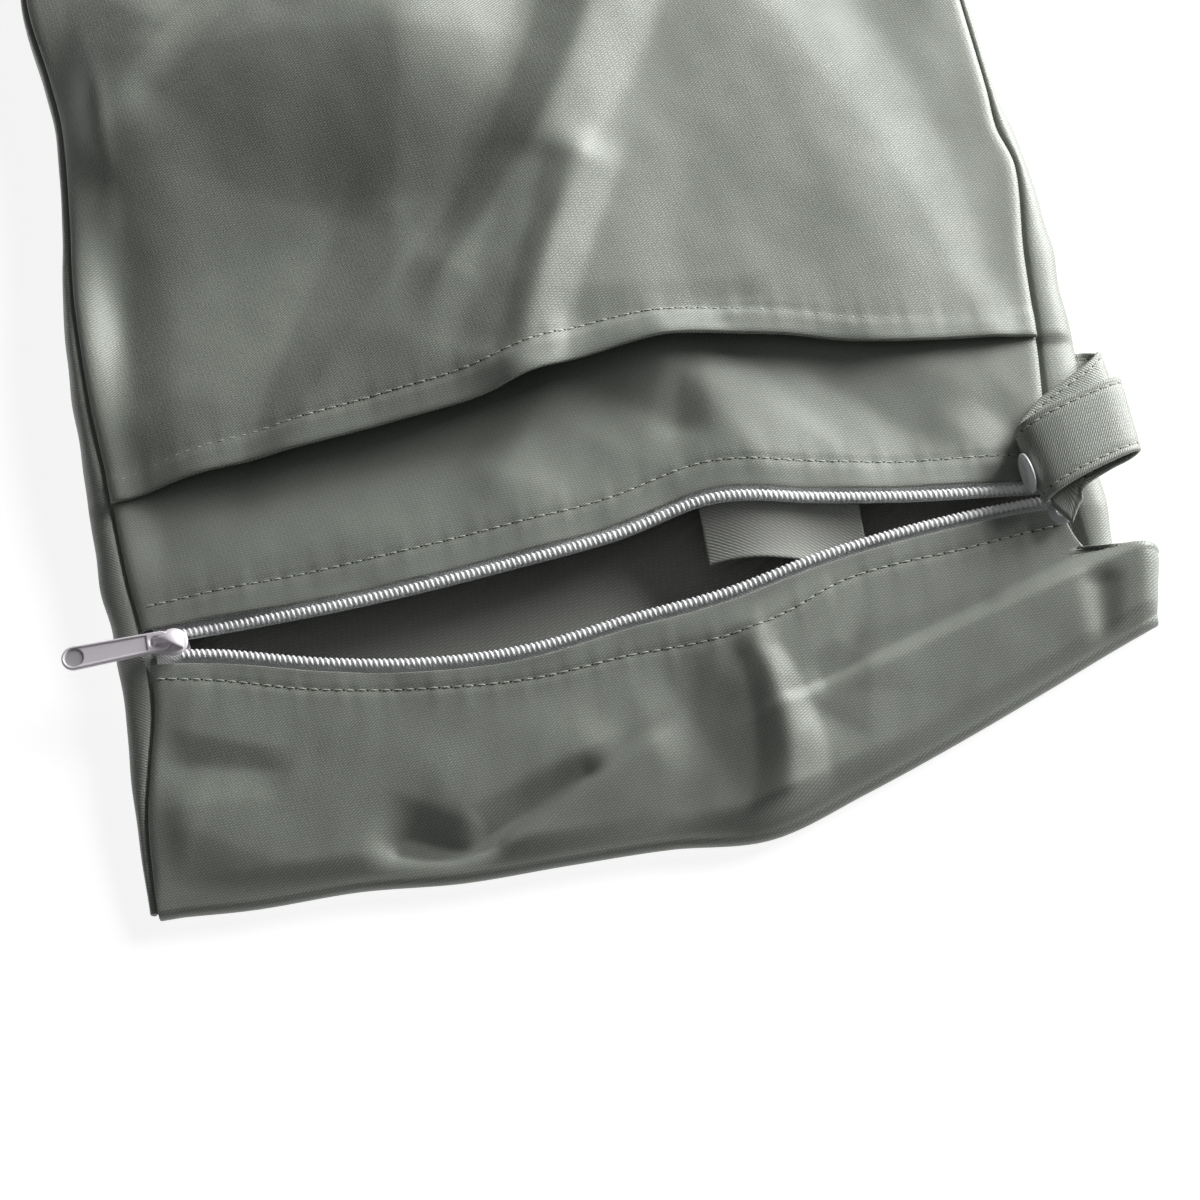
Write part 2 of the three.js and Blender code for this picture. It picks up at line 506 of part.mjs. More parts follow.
// The tapes end just inside the gussets, and the slider stands at their left end
const clear = wall + gap + slack;
const zipLeft = seamX("left", line(-halfWidth, "lower") - tapeWidth) + clear;
const zipRight = seamX("right", line(halfWidth, "upper")) - clear;
const sliderX = seamX("left", line(-halfWidth, "upper")) + clear + sliderLength / 2;
const sliderY = (line(sliderX, "upper") + line(sliderX, "lower")) / 2;
const sliderZ = Math.min(
  lipTapeHeight("upper", sliderX, line(sliderX, "upper")),
  lipTapeHeight("lower", sliderX, line(sliderX, "lower")),
);

// Height of a tape's middle all along: both tapes sink to one height where the slider joins them
function tapeHeight(which, x, y) {
  const away = smooth(sliderX, sliderX + 4 * sliderLength, x);
  return blend(Math.min(sliderZ, lipTapeHeight(which, x, y)), lipTapeHeight(which, x, y), away);
}

// Zip tape: a woven strip sewn under a lip, with its bare edge in the mouth
function zipTape(which) {
  const inward = which === "upper" ? 1 : -1;
  const middle = (along, across) => {
    const x = blend(zipLeft, zipRight, along);
    const y = line(x, which) + inward * (across * tapeWidth - coilWidth / 2);
    return new THREE.Vector3(x, y, tapeHeight(which, x, y));
  };
  const lipShare = (lipInset + coilWidth / 2) / tapeWidth;
  return clothGeometry(middle, even(24), [0, lipShare, 1], () => tapeThickness);
}

const coilLift = tapeThickness / 2 + gap + coilHeight / 2;
const coilStart = sliderX + sliderLength / 4;

// Zip coil: one side's row of nylon turns, drawn as the bar that they fill
function zipCoil(which) {
  const middle = (along) => {
    const x = blend(coilStart, zipRight, along);
    const y = line(x, which);
    return new THREE.Vector3(x, y, tapeHeight(which, x, y) + coilLift);
  };
  return barGeometry(middle, 24, coilWidth, coilHeight, 6);
}

// Slider: two plates round the coils, a post between them and an arched crown that holds the pull
const channel = tapeThickness / 2 + gap + coilHeight + 2 * slack; // from the tape's middle to the top plate
const plateTop = channel + sliderPlate;
const barReach = pullThickness * Math.SQRT1_2; // from the pull's axis to its end bar's corner
const eyeAxis = barReach + gap + slack; // from the top plate up to the pull's axis
const crownRadius = eyeAxis + barReach + slack; // inside of the crown's arch

function zipSlider() {
  const wide = sliderWidth / 2;
  const narrow = wide * 0.74;
  const left = -sliderLength / 2 + narrow;
  const right = sliderLength / 2 - wide;
  const under = -tapeThickness / 2 - slack;
  const upper = roundedPlate(left, narrow, right, wide, channel, plateTop);
  const lower = roundedPlate(left, narrow, right, wide, under - sliderPlate, under);
  const postHeight = channel - under + sliderPlate;
  const post = block(sliderLength * 0.3, 1.4, postHeight, -sliderLength * 0.12, 0, (channel + under) / 2);
  const outer = crownRadius + crownThickness;
  const arch = new THREE.Shape();
  arch.absarc(0, 0, outer, 0, Math.PI, false);
  arch.lineTo(-outer, -sliderPlate / 2);
  arch.lineTo(-crownRadius, -sliderPlate / 2);
  arch.absarc(0, 0, crownRadius, Math.PI, 0, true);
  arch.lineTo(crownRadius, -sliderPlate / 2);
  arch.lineTo(outer, -sliderPlate / 2);
  arch.closePath();
  const crownShape = { depth: crownWidth, bevelEnabled: false, curveSegments: 10 };
  const crown = new THREE.ExtrudeGeometry(arch, crownShape);
  crown.translate(0, 0, -crownWidth / 2).rotateX(Math.PI / 2).translate(0, 0, plateTop);
  return geometryOf(upper.add(lower).add(post).add(solid(crown)));
}

// Pull: a moulded tab with a raised rim, a round dimple at its tip and a slot whose end bar sits in the crown
function zipPull() {
  const half = pullWidth / 2;
  const eyeHalf = crownWidth / 2 + slack;
  const barRadius = pullThickness / 2;
  const eyeReach = Math.hypot(crownRadius + crownThickness, eyeAxis) + 2 * slack;
  const neck = half * 0.84;
  const tip = -pullLength + half;
  const low = -pullThickness / 2;
  const high = pullThickness / 2;
  const body = roundedPlate(tip, half, barRadius - neck, neck, low, high);
  const eyeLeft = -eyeReach + eyeHalf;
  const roundEnd = roundedPlate(eyeLeft, eyeHalf, -barRadius - eyeHalf, eyeHalf, low - 1, high + 1);
  const eyeMiddle = (eyeLeft - barRadius) / 2;
  const squareEnd = block(-barRadius - eyeLeft, 2 * eyeHalf, 2 * pullThickness, eyeMiddle, 0, 0);
  const eye = roundEnd.add(squareEnd);
  const panelEnd = -eyeReach - pullRim - (neck - pullRim);
  const recess = roundedPlate(tip, half - pullRim, panelEnd, neck - pullRim, high - pullRecess, high + 1);
  const dimple = new THREE.CylinderGeometry(half - pullRim, half - pullRim, 2, 24).rotateX(Math.PI / 2);
  const dimpleCut = solid(dimple.translate(tip, 0, high + 1 - 2 * pullRecess));
  return geometryOf(body.subtract(eye).subtract(recess).subtract(dimpleCut));
}

// Strap: a folded band of doubled cloth, sewn to the right gusset, folded over itself and snapped
function strapLine() {
  const y0 = strapRoot * halfLength;
  const x0 = seamX("right", y0) + halfWidth * section(y0, "rightBulge") + wall / 2 + gap + slack;
  const place = (row) => new THREE.Vector3(row.out, row.along, row.up).multiplyScalar(strapWidth);
  const places = STRAP_PATH.map((row) => place(row).add(new THREE.Vector3(x0, y0, 0)));
  return new THREE.CatmullRomCurve3(places, false, "centripetal");
}

function strap() {
  const path = strapLine();
  const last = STRAP_PATH.length - 1;
  const middle = (along, across) => {
    const row = Math.min(Math.floor(along * last), last - 1);
    const from = STRAP_PATH[row];
    const to = STRAP_PATH[row + 1];
    const radians = THREE.MathUtils.degToRad(blend(from.turn, to.turn, along * last - row));
    const reach = (0.5 - across) * strapWidth * blend(from.wide, to.wide, along * last - row);
    const widthLine = new THREE.Vector3(Math.sin(radians), -Math.cos(radians), 0);
    return path.getPoint(along).addScaledVector(widthLine, reach);
  };
  return clothGeometry(middle, even(2 * last), even(3), () => strapThickness);
}

// Snap cap and socket: turned discs of moulded plastic, made flat on the origin with their axis along Z
function snapDisc(diameter, thickness, crownShare) {
  const radius = diameter / 2;
  const profile = [
    new THREE.Vector2(0, 0),
    new THREE.Vector2(radius * 0.94, 0),
    new THREE.Vector2(radius, thickness * 0.3),
    new THREE.Vector2(radius * 0.86, thickness * 0.8),
    new THREE.Vector2(radius * crownShare, thickness),
    new THREE.Vector2(0, thickness),
  ];
  return new THREE.LatheGeometry(profile, 20).rotateX(Math.PI / 2);
}

// Inner facing: a loose strip of lining that hangs in the mouth from the upper tape, right of the middle
// left and right are its ends as shares of the half width, start where it is sewn on the tape as a share of
// the tape's width, reach its depth as a share of the half length, and drop and curl its fall into the bag
// and the lift of its free edge as shares of the loft.
const FACING = { left: 0.18, right: 0.5, start: 0.7, reach: 0.13, drop: 0.22, curl: 0.1 };
function innerFacing() {
  const middle = (along, across) => {
    const x = halfWidth * blend(FACING.left, FACING.right, across);
    const y = line(x, "upper") + tapeWidth * FACING.start - halfLength * FACING.reach * along;
    const under = tapeHeight("upper", x, y) - tapeThickness / 2 - gap - slack - wall / 2;
    const curl = FACING.curl * Math.sin(Math.PI * across * 1.5) * along;
    return new THREE.Vector3(x, y, under - loft * (FACING.drop * smooth(0.1, 1, along) - curl));
  };
  return clothGeometry(middle, even(8), even(7));
}

addPiece("back_panel", backPanel(), clothFinish);
addPiece("front_panel", frontPanel(), clothFinish);
addPiece("pocket_panel", pocketPanel(), clothFinish);
addPiece("top_band", topBand(), clothFinish);
addPiece("left_gusset", gusset("left", -0.955, 0.93), clothFinish);
addPiece("right_gusset", gusset("right", -0.735, 0.93), clothFinish);
for (const which of ["upper", "lower"]) {
  addPiece("zip_tape_" + which, zipTape(which), nylonFinish);
  addPiece("zip_coil_" + which, zipCoil(which), nylonFinish);
}
addPiece("inner_facing", innerFacing(), liningFinish);

const slider = new THREE.Group();
slider.position.set(sliderX, sliderY, sliderZ);
bag.add(slider);
addPiece("zip_slider", zipSlider(), plasticFinish, slider);
const pull = addPiece("zip_pull", zipPull(), plasticFinish, slider);
pull.position.z = plateTop + eyeAxis;
pull.rotation.y = -THREE.MathUtils.degToRad(pullTilt);

addPiece("strap", strap(), clothFinish);

// The cap is on the outside of the strap's left fold, and the socket under its tip
const capPlace = STRAP_PATH[9];
const tipPlace = STRAP_PATH[STRAP_PATH.length - 1];
const strapStart = strapLine().getPoint(0);
const capTurn = THREE.MathUtils.degToRad(capPlace.turn);
const capOut = strapThickness / 2 + gap + slack;
const capAlong = strapWidth * 0.07;
const cap = addPiece("snap_cap", snapDisc(capDiameter, capThickness, 0.5), plasticFinish);
cap.rotation.set(0, -Math.PI / 2, capTurn, "ZYX");
cap.position.set(
  strapStart.x + strapWidth * capPlace.out - capOut * Math.cos(capTurn) + capAlong * Math.sin(capTurn),
  strapStart.y + strapWidth * capPlace.along - capOut * Math.sin(capTurn) - capAlong * Math.cos(capTurn),
  strapWidth * capPlace.up,
);
const socket = addPiece("snap_socket", snapDisc(socketDiameter, socketThickness, 0.6), plasticFinish);
socket.position.set(
  strapStart.x + strapWidth * (tipPlace.out + 0.03),
  strapStart.y + strapWidth * (tipPlace.along + 0.08),
  strapWidth * tipPlace.up - strapThickness / 2 - gap - slack - socketThickness,
);

export default bag;
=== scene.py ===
"""A cloth diaper wet bag, lying on its back with its zip half open and its snap strap folded and fastened.

Lengths below are in millimetres in the part's own frame: X runs across the bag, Y from the zip end to the far
end, and Z up from the floor. Every mesh is turned to metres as it is made.
"""

import bmesh
import bpy
import numpy as np
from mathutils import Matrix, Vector


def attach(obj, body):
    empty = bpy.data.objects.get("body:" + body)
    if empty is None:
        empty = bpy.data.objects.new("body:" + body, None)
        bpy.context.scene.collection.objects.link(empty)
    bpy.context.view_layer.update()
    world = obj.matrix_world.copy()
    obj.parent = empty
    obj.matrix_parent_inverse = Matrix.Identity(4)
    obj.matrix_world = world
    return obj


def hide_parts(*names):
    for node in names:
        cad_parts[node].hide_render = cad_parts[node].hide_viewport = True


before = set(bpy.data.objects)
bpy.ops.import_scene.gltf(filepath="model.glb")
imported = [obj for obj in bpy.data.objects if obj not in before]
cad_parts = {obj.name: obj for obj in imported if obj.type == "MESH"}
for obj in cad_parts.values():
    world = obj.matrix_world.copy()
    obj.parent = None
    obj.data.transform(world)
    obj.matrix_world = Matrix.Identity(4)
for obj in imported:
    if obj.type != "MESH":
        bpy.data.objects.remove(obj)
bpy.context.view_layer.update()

# Back panel: the flat cloth that the bag lies on, seen from inside through the open mouth. It is polyester
# twill laminated to a pale knitted lining, with the twill underneath and the lining on its inner, upper side.

BAG_WIDTH, BAG_LENGTH = 300, 400
HALF_WIDTH, HALF_LENGTH = BAG_WIDTH / 2, BAG_LENGTH / 2
WALL = 1.2  # thickness of the laminated cloth
GAP, SLACK = 0.3, 0.3  # air between two pieces, and room for their unevenness
NOSE_RADIUS = 2.4  # the soft fold at the zip end
MM = 0.001  # metres
EAR_START, EAR_SHARE = 0.88, 0.12  # where the ear begins to draw out the cloth, and over what share of it
EDGE = 0.6  # over how much a cloth's border is rounded


def table(columns, *rows):
    """Rows of numbers under named columns, as one array for each column."""
    return dict(zip(columns.split(), np.array(rows, float).T))


# Sections along the bag. v is the place as a share of the half length. left and right are the front seams,
# left_bulge and right_bulge how far the gussets show beyond them, as shares of the half width. side and crown
# are the front's height at its seams and in its middle, as shares of the loft.
SECTIONS = table(
    "v left right left_bulge right_bulge side crown",
    (-1.02, -0.986, 0.930, 0.004, 0.020, 0.60, 0.98),
    (-0.855, -0.980, 0.932, 0.013, 0.035, 0.60, 0.98),
    (-0.765, -0.960, 0.931, 0.034, 0.045, 0.60, 0.98),
    (-0.675, -0.937, 0.927, 0.052, 0.054, 0.60, 0.98),
    (-0.575, -0.941, 0.916, 0.053, 0.074, 0.60, 0.98),
    (-0.465, -0.960, 0.912, 0.046, 0.082, 0.60, 0.96),
    (-0.325, -0.973, 0.934, 0.038, 0.070, 0.62, 0.90),
    (-0.175, -0.990, 0.952, 0.028, 0.060, 0.66, 0.90),
    (-0.025, -0.996, 0.980, 0.020, 0.026, 0.68, 0.90),
    (0.05, -0.993, 0.962, 0.014, 0.033, 0.68, 0.90),
    (0.12, -0.986, 0.963, 0.012, 0.016, 0.68, 0.90),
    (0.3, -0.978, 0.957, 0.008, 0.013, 0.66, 0.90),
    (0.4, -0.992, 0.957, 0.007, 0.012, 0.64, 0.88),
    (0.56, -1.022, 0.960, 0.006, 0.012, 0.58, 0.85),
    (0.8, -1.000, 0.975, 0.010, 0.015, 0.40, 0.62),
    (0.92, -0.985, 0.982, 0.010, 0.012, 0.20, 0.34),
    (1, -0.975, 0.980, 0, 0, 0, 0),
)

# Lines across the bag. u is the place as a share of the half width. hem, upper, lower and end are where the
# pocket's hem, the two zip coils and the end fold run, as shares of the half length. lip is the lower zip
# lip's height as a share of the loft, and puff the share of the pocket's puff under the hem.
LINES = table(
    "u hem upper lower end lip puff",
    (-0.94, -0.353, -0.576, -0.602, -0.987, 0.60, 0.10),
    (-0.8, -0.339, -0.577, -0.618, -0.994, 0.62, 0.70),
    (-0.6, -0.330, -0.581, -0.659, -0.994, 0.65, 1.00),
    (-0.4, -0.317, -0.575, -0.686, -1.007, 0.68, 1.00),
    (-0.2, -0.302, -0.562, -0.692, -1.007, 0.71, 0.95),
    (0, -0.268, -0.545, -0.673, -1.009, 0.74, 0.90),
    (0.2, -0.253, -0.514, -0.657, -1.020, 0.77, 0.85),
    (0.4, -0.271, -0.533, -0.626, -0.975, 0.82, 0.70),
    (0.6, -0.303, -0.552, -0.604, -0.922, 0.77, 0.50),
    (0.8, -0.315, -0.564, -0.591, -0.864, 0.66, 0.30),
    (0.94, -0.320, -0.568, -0.588, -0.822, 0.60, 0.10),
    (1.06, -0.320, -0.568, -0.588, -0.788, 0.60, 0.10),
)

# How far the boxed corner stands out as an ear beyond the right seam, as a share of the half width
EAR = table(
    "v out",
    (-0.84, 0.1), (-0.79, 0.113), (-0.735, 0.132), (-0.69, 0.148), (-0.679, 0.138), (-0.669, 0), (-0.5, 0),
)


def column_at(rows, key, place, column):
    """A column's value at each place. Cubics join the rows, with slopes taken from the rows on both sides,
    and the value stays level past the first and last row."""
    x, y = rows[key], rows[column]
    place = np.clip(place, x[0], x[-1])
    first = (y[1] - y[0]) / (x[1] - x[0])
    last = (y[-1] - y[-2]) / (x[-1] - x[-2])
    slope = np.concatenate(([first], (y[2:] - y[:-2]) / (x[2:] - x[:-2]), [last]))
    i = np.clip(np.searchsorted(x, place), 1, len(x) - 1)
    span = x[i] - x[i - 1]
    t = (place - x[i - 1]) / span
    curve = 3 * t**2 - 2 * t**3
    leave = slope[i - 1] * span * (t - 2 * t**2 + t**3)
    return y[i - 1] * (1 - curve) + y[i] * curve + leave + slope[i] * span * (t**3 - t**2)


def section(y, column):
    """A column of SECTIONS at y mm along the bag."""
    return column_at(SECTIONS, "v", y / HALF_LENGTH, column)


def share(x, column):
    """A column of LINES at x mm across the bag."""
    return column_at(LINES, "u", x / HALF_WIDTH, column)


def line(x, column):
    """Y of one of the LINES at x: its share times half the bag's length."""
    return HALF_LENGTH * share(x, column)


def ear_out(y):
    """How far the ear stands out at y, in mm."""
    return HALF_WIDTH * column_at(EAR, "v", y / HALF_LENGTH, "out")


def no_ear(y):
    """A straight right seam: 0 everywhere."""
    return 0 * y


def smooth(low, high, value):
    """0 below low and 1 above high, with a smooth step 3t^2 - 2t^3 between them."""
    t = np.clip((value - low) / (high - low), 0, 1)
    return t * t * (3 - 2 * t)


def panel_grid(across, run, near_edge, far_edge, right_out=no_ear):
    """x and y of a panel's grid. Rows go by run from the near edge to the far one, and columns by across from
    the left seam to the right one. The edges depend on x and the seams on y, so six passes settle both. The
    ear draws out only the last columns."""
    run, across = np.meshgrid(run, across, indexing="ij")
    drawn = np.clip((across - EAR_START) / EAR_SHARE, 0, 1)
    x = -HALF_WIDTH + BAG_WIDTH * across
    for _ in range(6):
        y = near_edge(x) + (far_edge(x) - near_edge(x)) * run
        left = HALF_WIDTH * section(y, "left")
        x = left + (HALF_WIDTH * section(y, "right") - left) * across + right_out(y) * drawn
    return x, y


def rows_between(length, step):
    """Shares from 0 to 1 along a length, a step apart, with four more at each end for a rounded edge."""
    near = EDGE * np.array([0, 0.08, 0.3, 0.6, 1]) / length
    middle = np.linspace(near[-1], 1 - near[-1], max(int(length / step), 2) + 1)
    return np.concatenate((near[:-1], middle, 1 - near[-2::-1]))


def mesh_piece(name, points, faces, looks, look_of_face=None, uv=None):
    """A mesh object from points in mm and faces of one size. If the volume that they enclose is negative, as
    the sum of each face's corner times the cross product of its sides, all of them are turned round."""
    a, b, c = (points[faces[:, k]] for k in (0, 1, 2))
    volume = np.einsum("ij,ij->", a, np.cross(b, c))
    if faces.shape[1] == 4:
        d = points[faces[:, 3]]
        volume += np.einsum("ij,ij->", a, np.cross(c, d))
    if volume < 0:
        faces = faces[:, ::-1]
    mesh = bpy.data.meshes.new(name)
    mesh.vertices.add(len(points))
    mesh.vertices.foreach_set("co", (np.asarray(points, float) * MM).ravel())
    mesh.loops.add(faces.size)
    mesh.loops.foreach_set("vertex_index", faces.ravel().astype(np.int32))
    mesh.polygons.add(len(faces))
    mesh.polygons.foreach_set("loop_start", np.arange(0, faces.size, faces.shape[1], dtype=np.int32))
    for look in looks:
        mesh.materials.append(look)
    if look_of_face is not None:
        mesh.polygons.foreach_set("material_index", look_of_face.astype(np.int32))
    if uv is not None:
        layer = mesh.uv_layers.new(name="cloth")
        layer.data.foreach_set("uv", (uv[faces.ravel()] * MM).ravel())
    mesh.update(calc_edges=True)
    mesh.validate()
    mesh.polygons.foreach_set("use_smooth", np.full(len(mesh.polygons), True))
    piece = bpy.data.objects.new(name, mesh)
    bpy.context.scene.collection.objects.link(piece)
    return piece


def grid_faces(rows, columns, start=0, around=False):
    """Quads between neighbouring rows and columns of a grid whose points are numbered row by row. around
    joins the last column to the first."""
    i, j = np.meshgrid(np.arange(rows - 1), np.arange(columns if around else columns - 1), indexing="ij")
    k = (j + 1) % columns
    quads = np.stack((i * columns + j, i * columns + k, (i + 1) * columns + k, (i + 1) * columns + j), -1)
    return start + quads.reshape(-1, 4)


def cloth_slab(name, middle, thickness, looks, uv=None):
    """A cloth as a closed slab: the middle surface moved half the thickness up and down along its normal, and
    strips of faces round the border. Its UV map is the flat cloth in mm, either as given or as the distances
    along its rows and columns. Its flat size and area, in metres, are returned with it."""
    rows, columns = middle.shape[:2]
    across = np.gradient(middle, axis=1)
    along = np.gradient(middle, axis=0)
    normal = np.cross(across, along)
    normal /= np.linalg.norm(normal, axis=2, keepdims=True)
    if normal[..., 2].mean() < 0:
        normal = -normal
    half = (np.broadcast_to(thickness, (rows, columns)) / 2)[..., None]
    upper_points, lower_points = middle + normal * half, middle - normal * half
    points = np.concatenate((upper_points.reshape(-1, 3), lower_points.reshape(-1, 3)))
    top = grid_faces(rows, columns)
    under = grid_faces(rows, columns, rows * columns)[:, ::-1]
    index = np.arange(rows * columns).reshape(rows, columns)
    loop = np.concatenate((index[0, :-1], index[:-1, -1], index[-1, :0:-1], index[:0:-1, 0]))
    after = np.roll(loop, -1)
    border = np.stack((loop, loop + rows * columns, after + rows * columns, after), -1)
    faces = np.concatenate((top, under, border))
    look = np.concatenate((np.zeros(len(top)), np.ones(len(under)), np.zeros(len(border))))
    step_u = np.linalg.norm(np.diff(middle, axis=1), axis=2)
    step_v = np.linalg.norm(np.diff(middle, axis=0), axis=2)
    u = np.concatenate((np.zeros((rows, 1)), np.cumsum(step_u, 1)), 1)
    v = np.concatenate((np.zeros((1, columns)), np.cumsum(step_v, 0)), 0)
    u -= u[:, columns // 2][:, None]
    v -= v[rows // 2][None, :]
    uv = (np.stack((u, v), -1) if uv is None else uv).reshape(-1, 2)
    piece = mesh_piece(name, points, faces, looks, look, np.concatenate((uv, uv)))
    size = np.array([step_u.sum(1).max(), step_v.sum(0).max()])
    beside, beyond = middle[:-1, 1:] - middle[:-1, :-1], middle[1:, :-1] - middle[:-1, :-1]
    cells = np.linalg.norm(np.cross(beside, beyond), axis=2)
    return piece, size * MM, cells.sum() * MM * MM


def border_round(run, across, length, width, thickness, edge=EDGE):
    """Thickness that falls along a quarter circle to nearly nothing over the last edge mm at the border."""
    run, across = np.meshgrid(run, across, indexing="ij")
    inside = np.minimum(np.minimum(run, 1 - run) * length, np.minimum(across, 1 - across) * width)
    q = np.clip(inside / edge, 0, 1)
    return thickness * np.maximum(np.sqrt(1 - (1 - q) ** 2), 0.06)


def linear(colour):
    """An sRGB hex colour as linear red, green, blue and 1."""
    rgb = np.array([int(colour[k:k + 2], 16) for k in (1, 3, 5)]) / 255
    return (*np.where(rgb <= 0.04045, rgb / 12.92, ((rgb + 0.055) / 1.055) ** 2.4), 1)


def add_node(tree, kind, inputs=None, **settings):
    """A node with its settings. Each input is a plain value, or a socket that is linked to it."""
    node = tree.nodes.new(kind)
    for name, value in settings.items():
        setattr(node, name, value)
    for key, value in (inputs or {}).items():
        if isinstance(value, bpy.types.NodeSocket):
            tree.links.new(value, node.inputs[key])
        else:
            node.inputs[key].default_value = value
    return node


def bands_at(pitch):
    """Scale of a wave texture whose bands are pitch mm apart: it draws 20 radians for each unit."""
    return 2 * np.pi / (20 * pitch * MM)


GRAIN_SCALE, BROAD_SCALE = 900, 22  # noise of about 1.1 mm in the threads, and of 45 mm in the colour


def woven(name, light, dark, rib, turn, cross, depth, roughness, sheen):
    """A woven or knitted cloth. Ribs run at an angle to the cloth, rib mm apart, and the cross threads, cross
    mm apart, cut them into stitches: height = ribs x threads + ribs + grain. depth is how far the threads
    stand up in mm."""
    look = bpy.data.materials.new(name)
    look.use_nodes = True
    tree = look.node_tree
    tree.nodes.clear()
    place = add_node(tree, "ShaderNodeTexCoord")
    flat = add_node(tree, "ShaderNodeMapping", {
        "Vector": place.outputs["UV"], "Rotation": (0, 0, np.radians(turn)),
    })
    ribs = add_node(tree, "ShaderNodeTexWave", {
        "Vector": flat.outputs[0], "Scale": bands_at(rib), "Distortion": 0.7, "Detail": 1.0,
        "Detail Scale": 0.6,
    })
    upright = add_node(tree, "ShaderNodeMapping", {
        "Vector": place.outputs["UV"], "Rotation": (0, 0, np.pi / 2),
    })
    threads = add_node(tree, "ShaderNodeTexWave", {
        "Vector": upright.outputs[0], "Scale": bands_at(cross), "Distortion": 0.8, "Detail": 1.0,
        "Detail Scale": 0.8,
    })
    grain = add_node(tree, "ShaderNodeTexNoise", {
        "Vector": flat.outputs[0], "Scale": GRAIN_SCALE, "Detail": 2.0,
    })
    broad = add_node(tree, "ShaderNodeTexNoise", {
        "Vector": place.outputs["Object"], "Scale": BROAD_SCALE, "Detail": 3.0,
    })
    cut = add_node(tree, "ShaderNodeMath", {
        0: ribs.outputs["Fac"], 1: threads.outputs["Fac"],
    }, operation="MULTIPLY")
    mixed = add_node(tree, "ShaderNodeMath", {0: cut.outputs[0], 1: ribs.outputs["Fac"]}, operation="ADD")
    weave = add_node(tree, "ShaderNodeMath", {0: mixed.outputs[0], 1: grain.outputs["Fac"]}, operation="ADD")
    amount = add_node(tree, "ShaderNodeMapRange", {
        "Value": weave.outputs[0], "From Min": 0.4, "From Max": 2.4,
    })
    colour = add_node(tree, "ShaderNodeMix", {
        "Factor": amount.outputs[0], "A": linear(dark), "B": linear(light),
    }, data_type="RGBA")
    spots = add_node(tree, "ShaderNodeMapRange", {
        "Value": broad.outputs["Fac"], "From Min": 0.3, "From Max": 0.7, "To Min": 0.94, "To Max": 1.05,
    })
    toned = add_node(tree, "ShaderNodeVectorMath", {
        0: colour.outputs["Result"], "Scale": spots.outputs[0],
    }, operation="SCALE")
    bump = add_node(tree, "ShaderNodeBump", {
        "Height": weave.outputs[0], "Distance": depth * MM, "Strength": 0.8,
    })
    shader = add_node(tree, "ShaderNodeBsdfPrincipled", {
        "Base Color": toned.outputs[0], "Roughness": roughness, "Normal": bump.outputs[0], "IOR": 1.5,
        "Sheen Weight": sheen, "Sheen Roughness": 0.35,
    })
    add_node(tree, "ShaderNodeOutputMaterial", {"Surface": shader.outputs[0]})
    return look


# Polyester twill, peached: fine diagonal ribs and a soft satin gloss. The real ribs are about 0.5 mm apart.
# They are drawn 0.72 mm apart, and the threads that cross them 0.8 mm, since finer ones don't show in the
# render.
twill = woven("polyester_twill", "#93978f", "#777b74", 0.72, 52, 0.8, 0.05, 0.46, 0.25)
# Polyester knit of the lining: small even stitches, a little paler than the twill and quite matt. They are
# drawn 0.9 mm wide and 1.1 mm long, since real ones of about 0.6 mm don't show in the render.
knit = woven("polyester_knit_lining", "#a6a8a2", "#8a8c86", 0.9, 60, 1.1, 0.06, 0.8, 0.1)


def near_edge_of_back(x):
    """The back panel stops inside the end fold, clear of it by a gap and two slacks."""
    return line(x, "end") + NOSE_RADIUS + GAP + 2 * SLACK


def far_edge(x):
    """The far seam is straight."""
    return HALF_LENGTH + 0 * x


run, across = rows_between(BAG_LENGTH, 4), rows_between(BAG_WIDTH, 4)
x, y = panel_grid(across, run, near_edge_of_back, far_edge, ear_out)
middle = np.stack((x, y, np.full_like(x, WALL / 2)), -1)
back_round = border_round(run, across, BAG_LENGTH, BAG_WIDTH, WALL)
back_cloth, _, area = cloth_slab("back_cloth", middle, back_round, (knit, twill), middle[..., :2])
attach(back_cloth, "bag")
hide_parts("back_panel")

# Front panel: the same laminated twill, from the upper lip of the zip to the far seam. Its lip is folded
# under and stitched to the zip tape, and most of it lies hidden under the slip pocket.

LOFT = 18  # the front panel's crown above the flat seam at the far end
REST = WALL * 1.5 + GAP  # middle of a front cloth that lies flat on the back panel
TAPE_REVEAL = 1.3  # bare tape between a coil and the cloth's edge
COIL_WIDTH = 3
LIP_INSET = COIL_WIDTH / 2 + TAPE_REVEAL

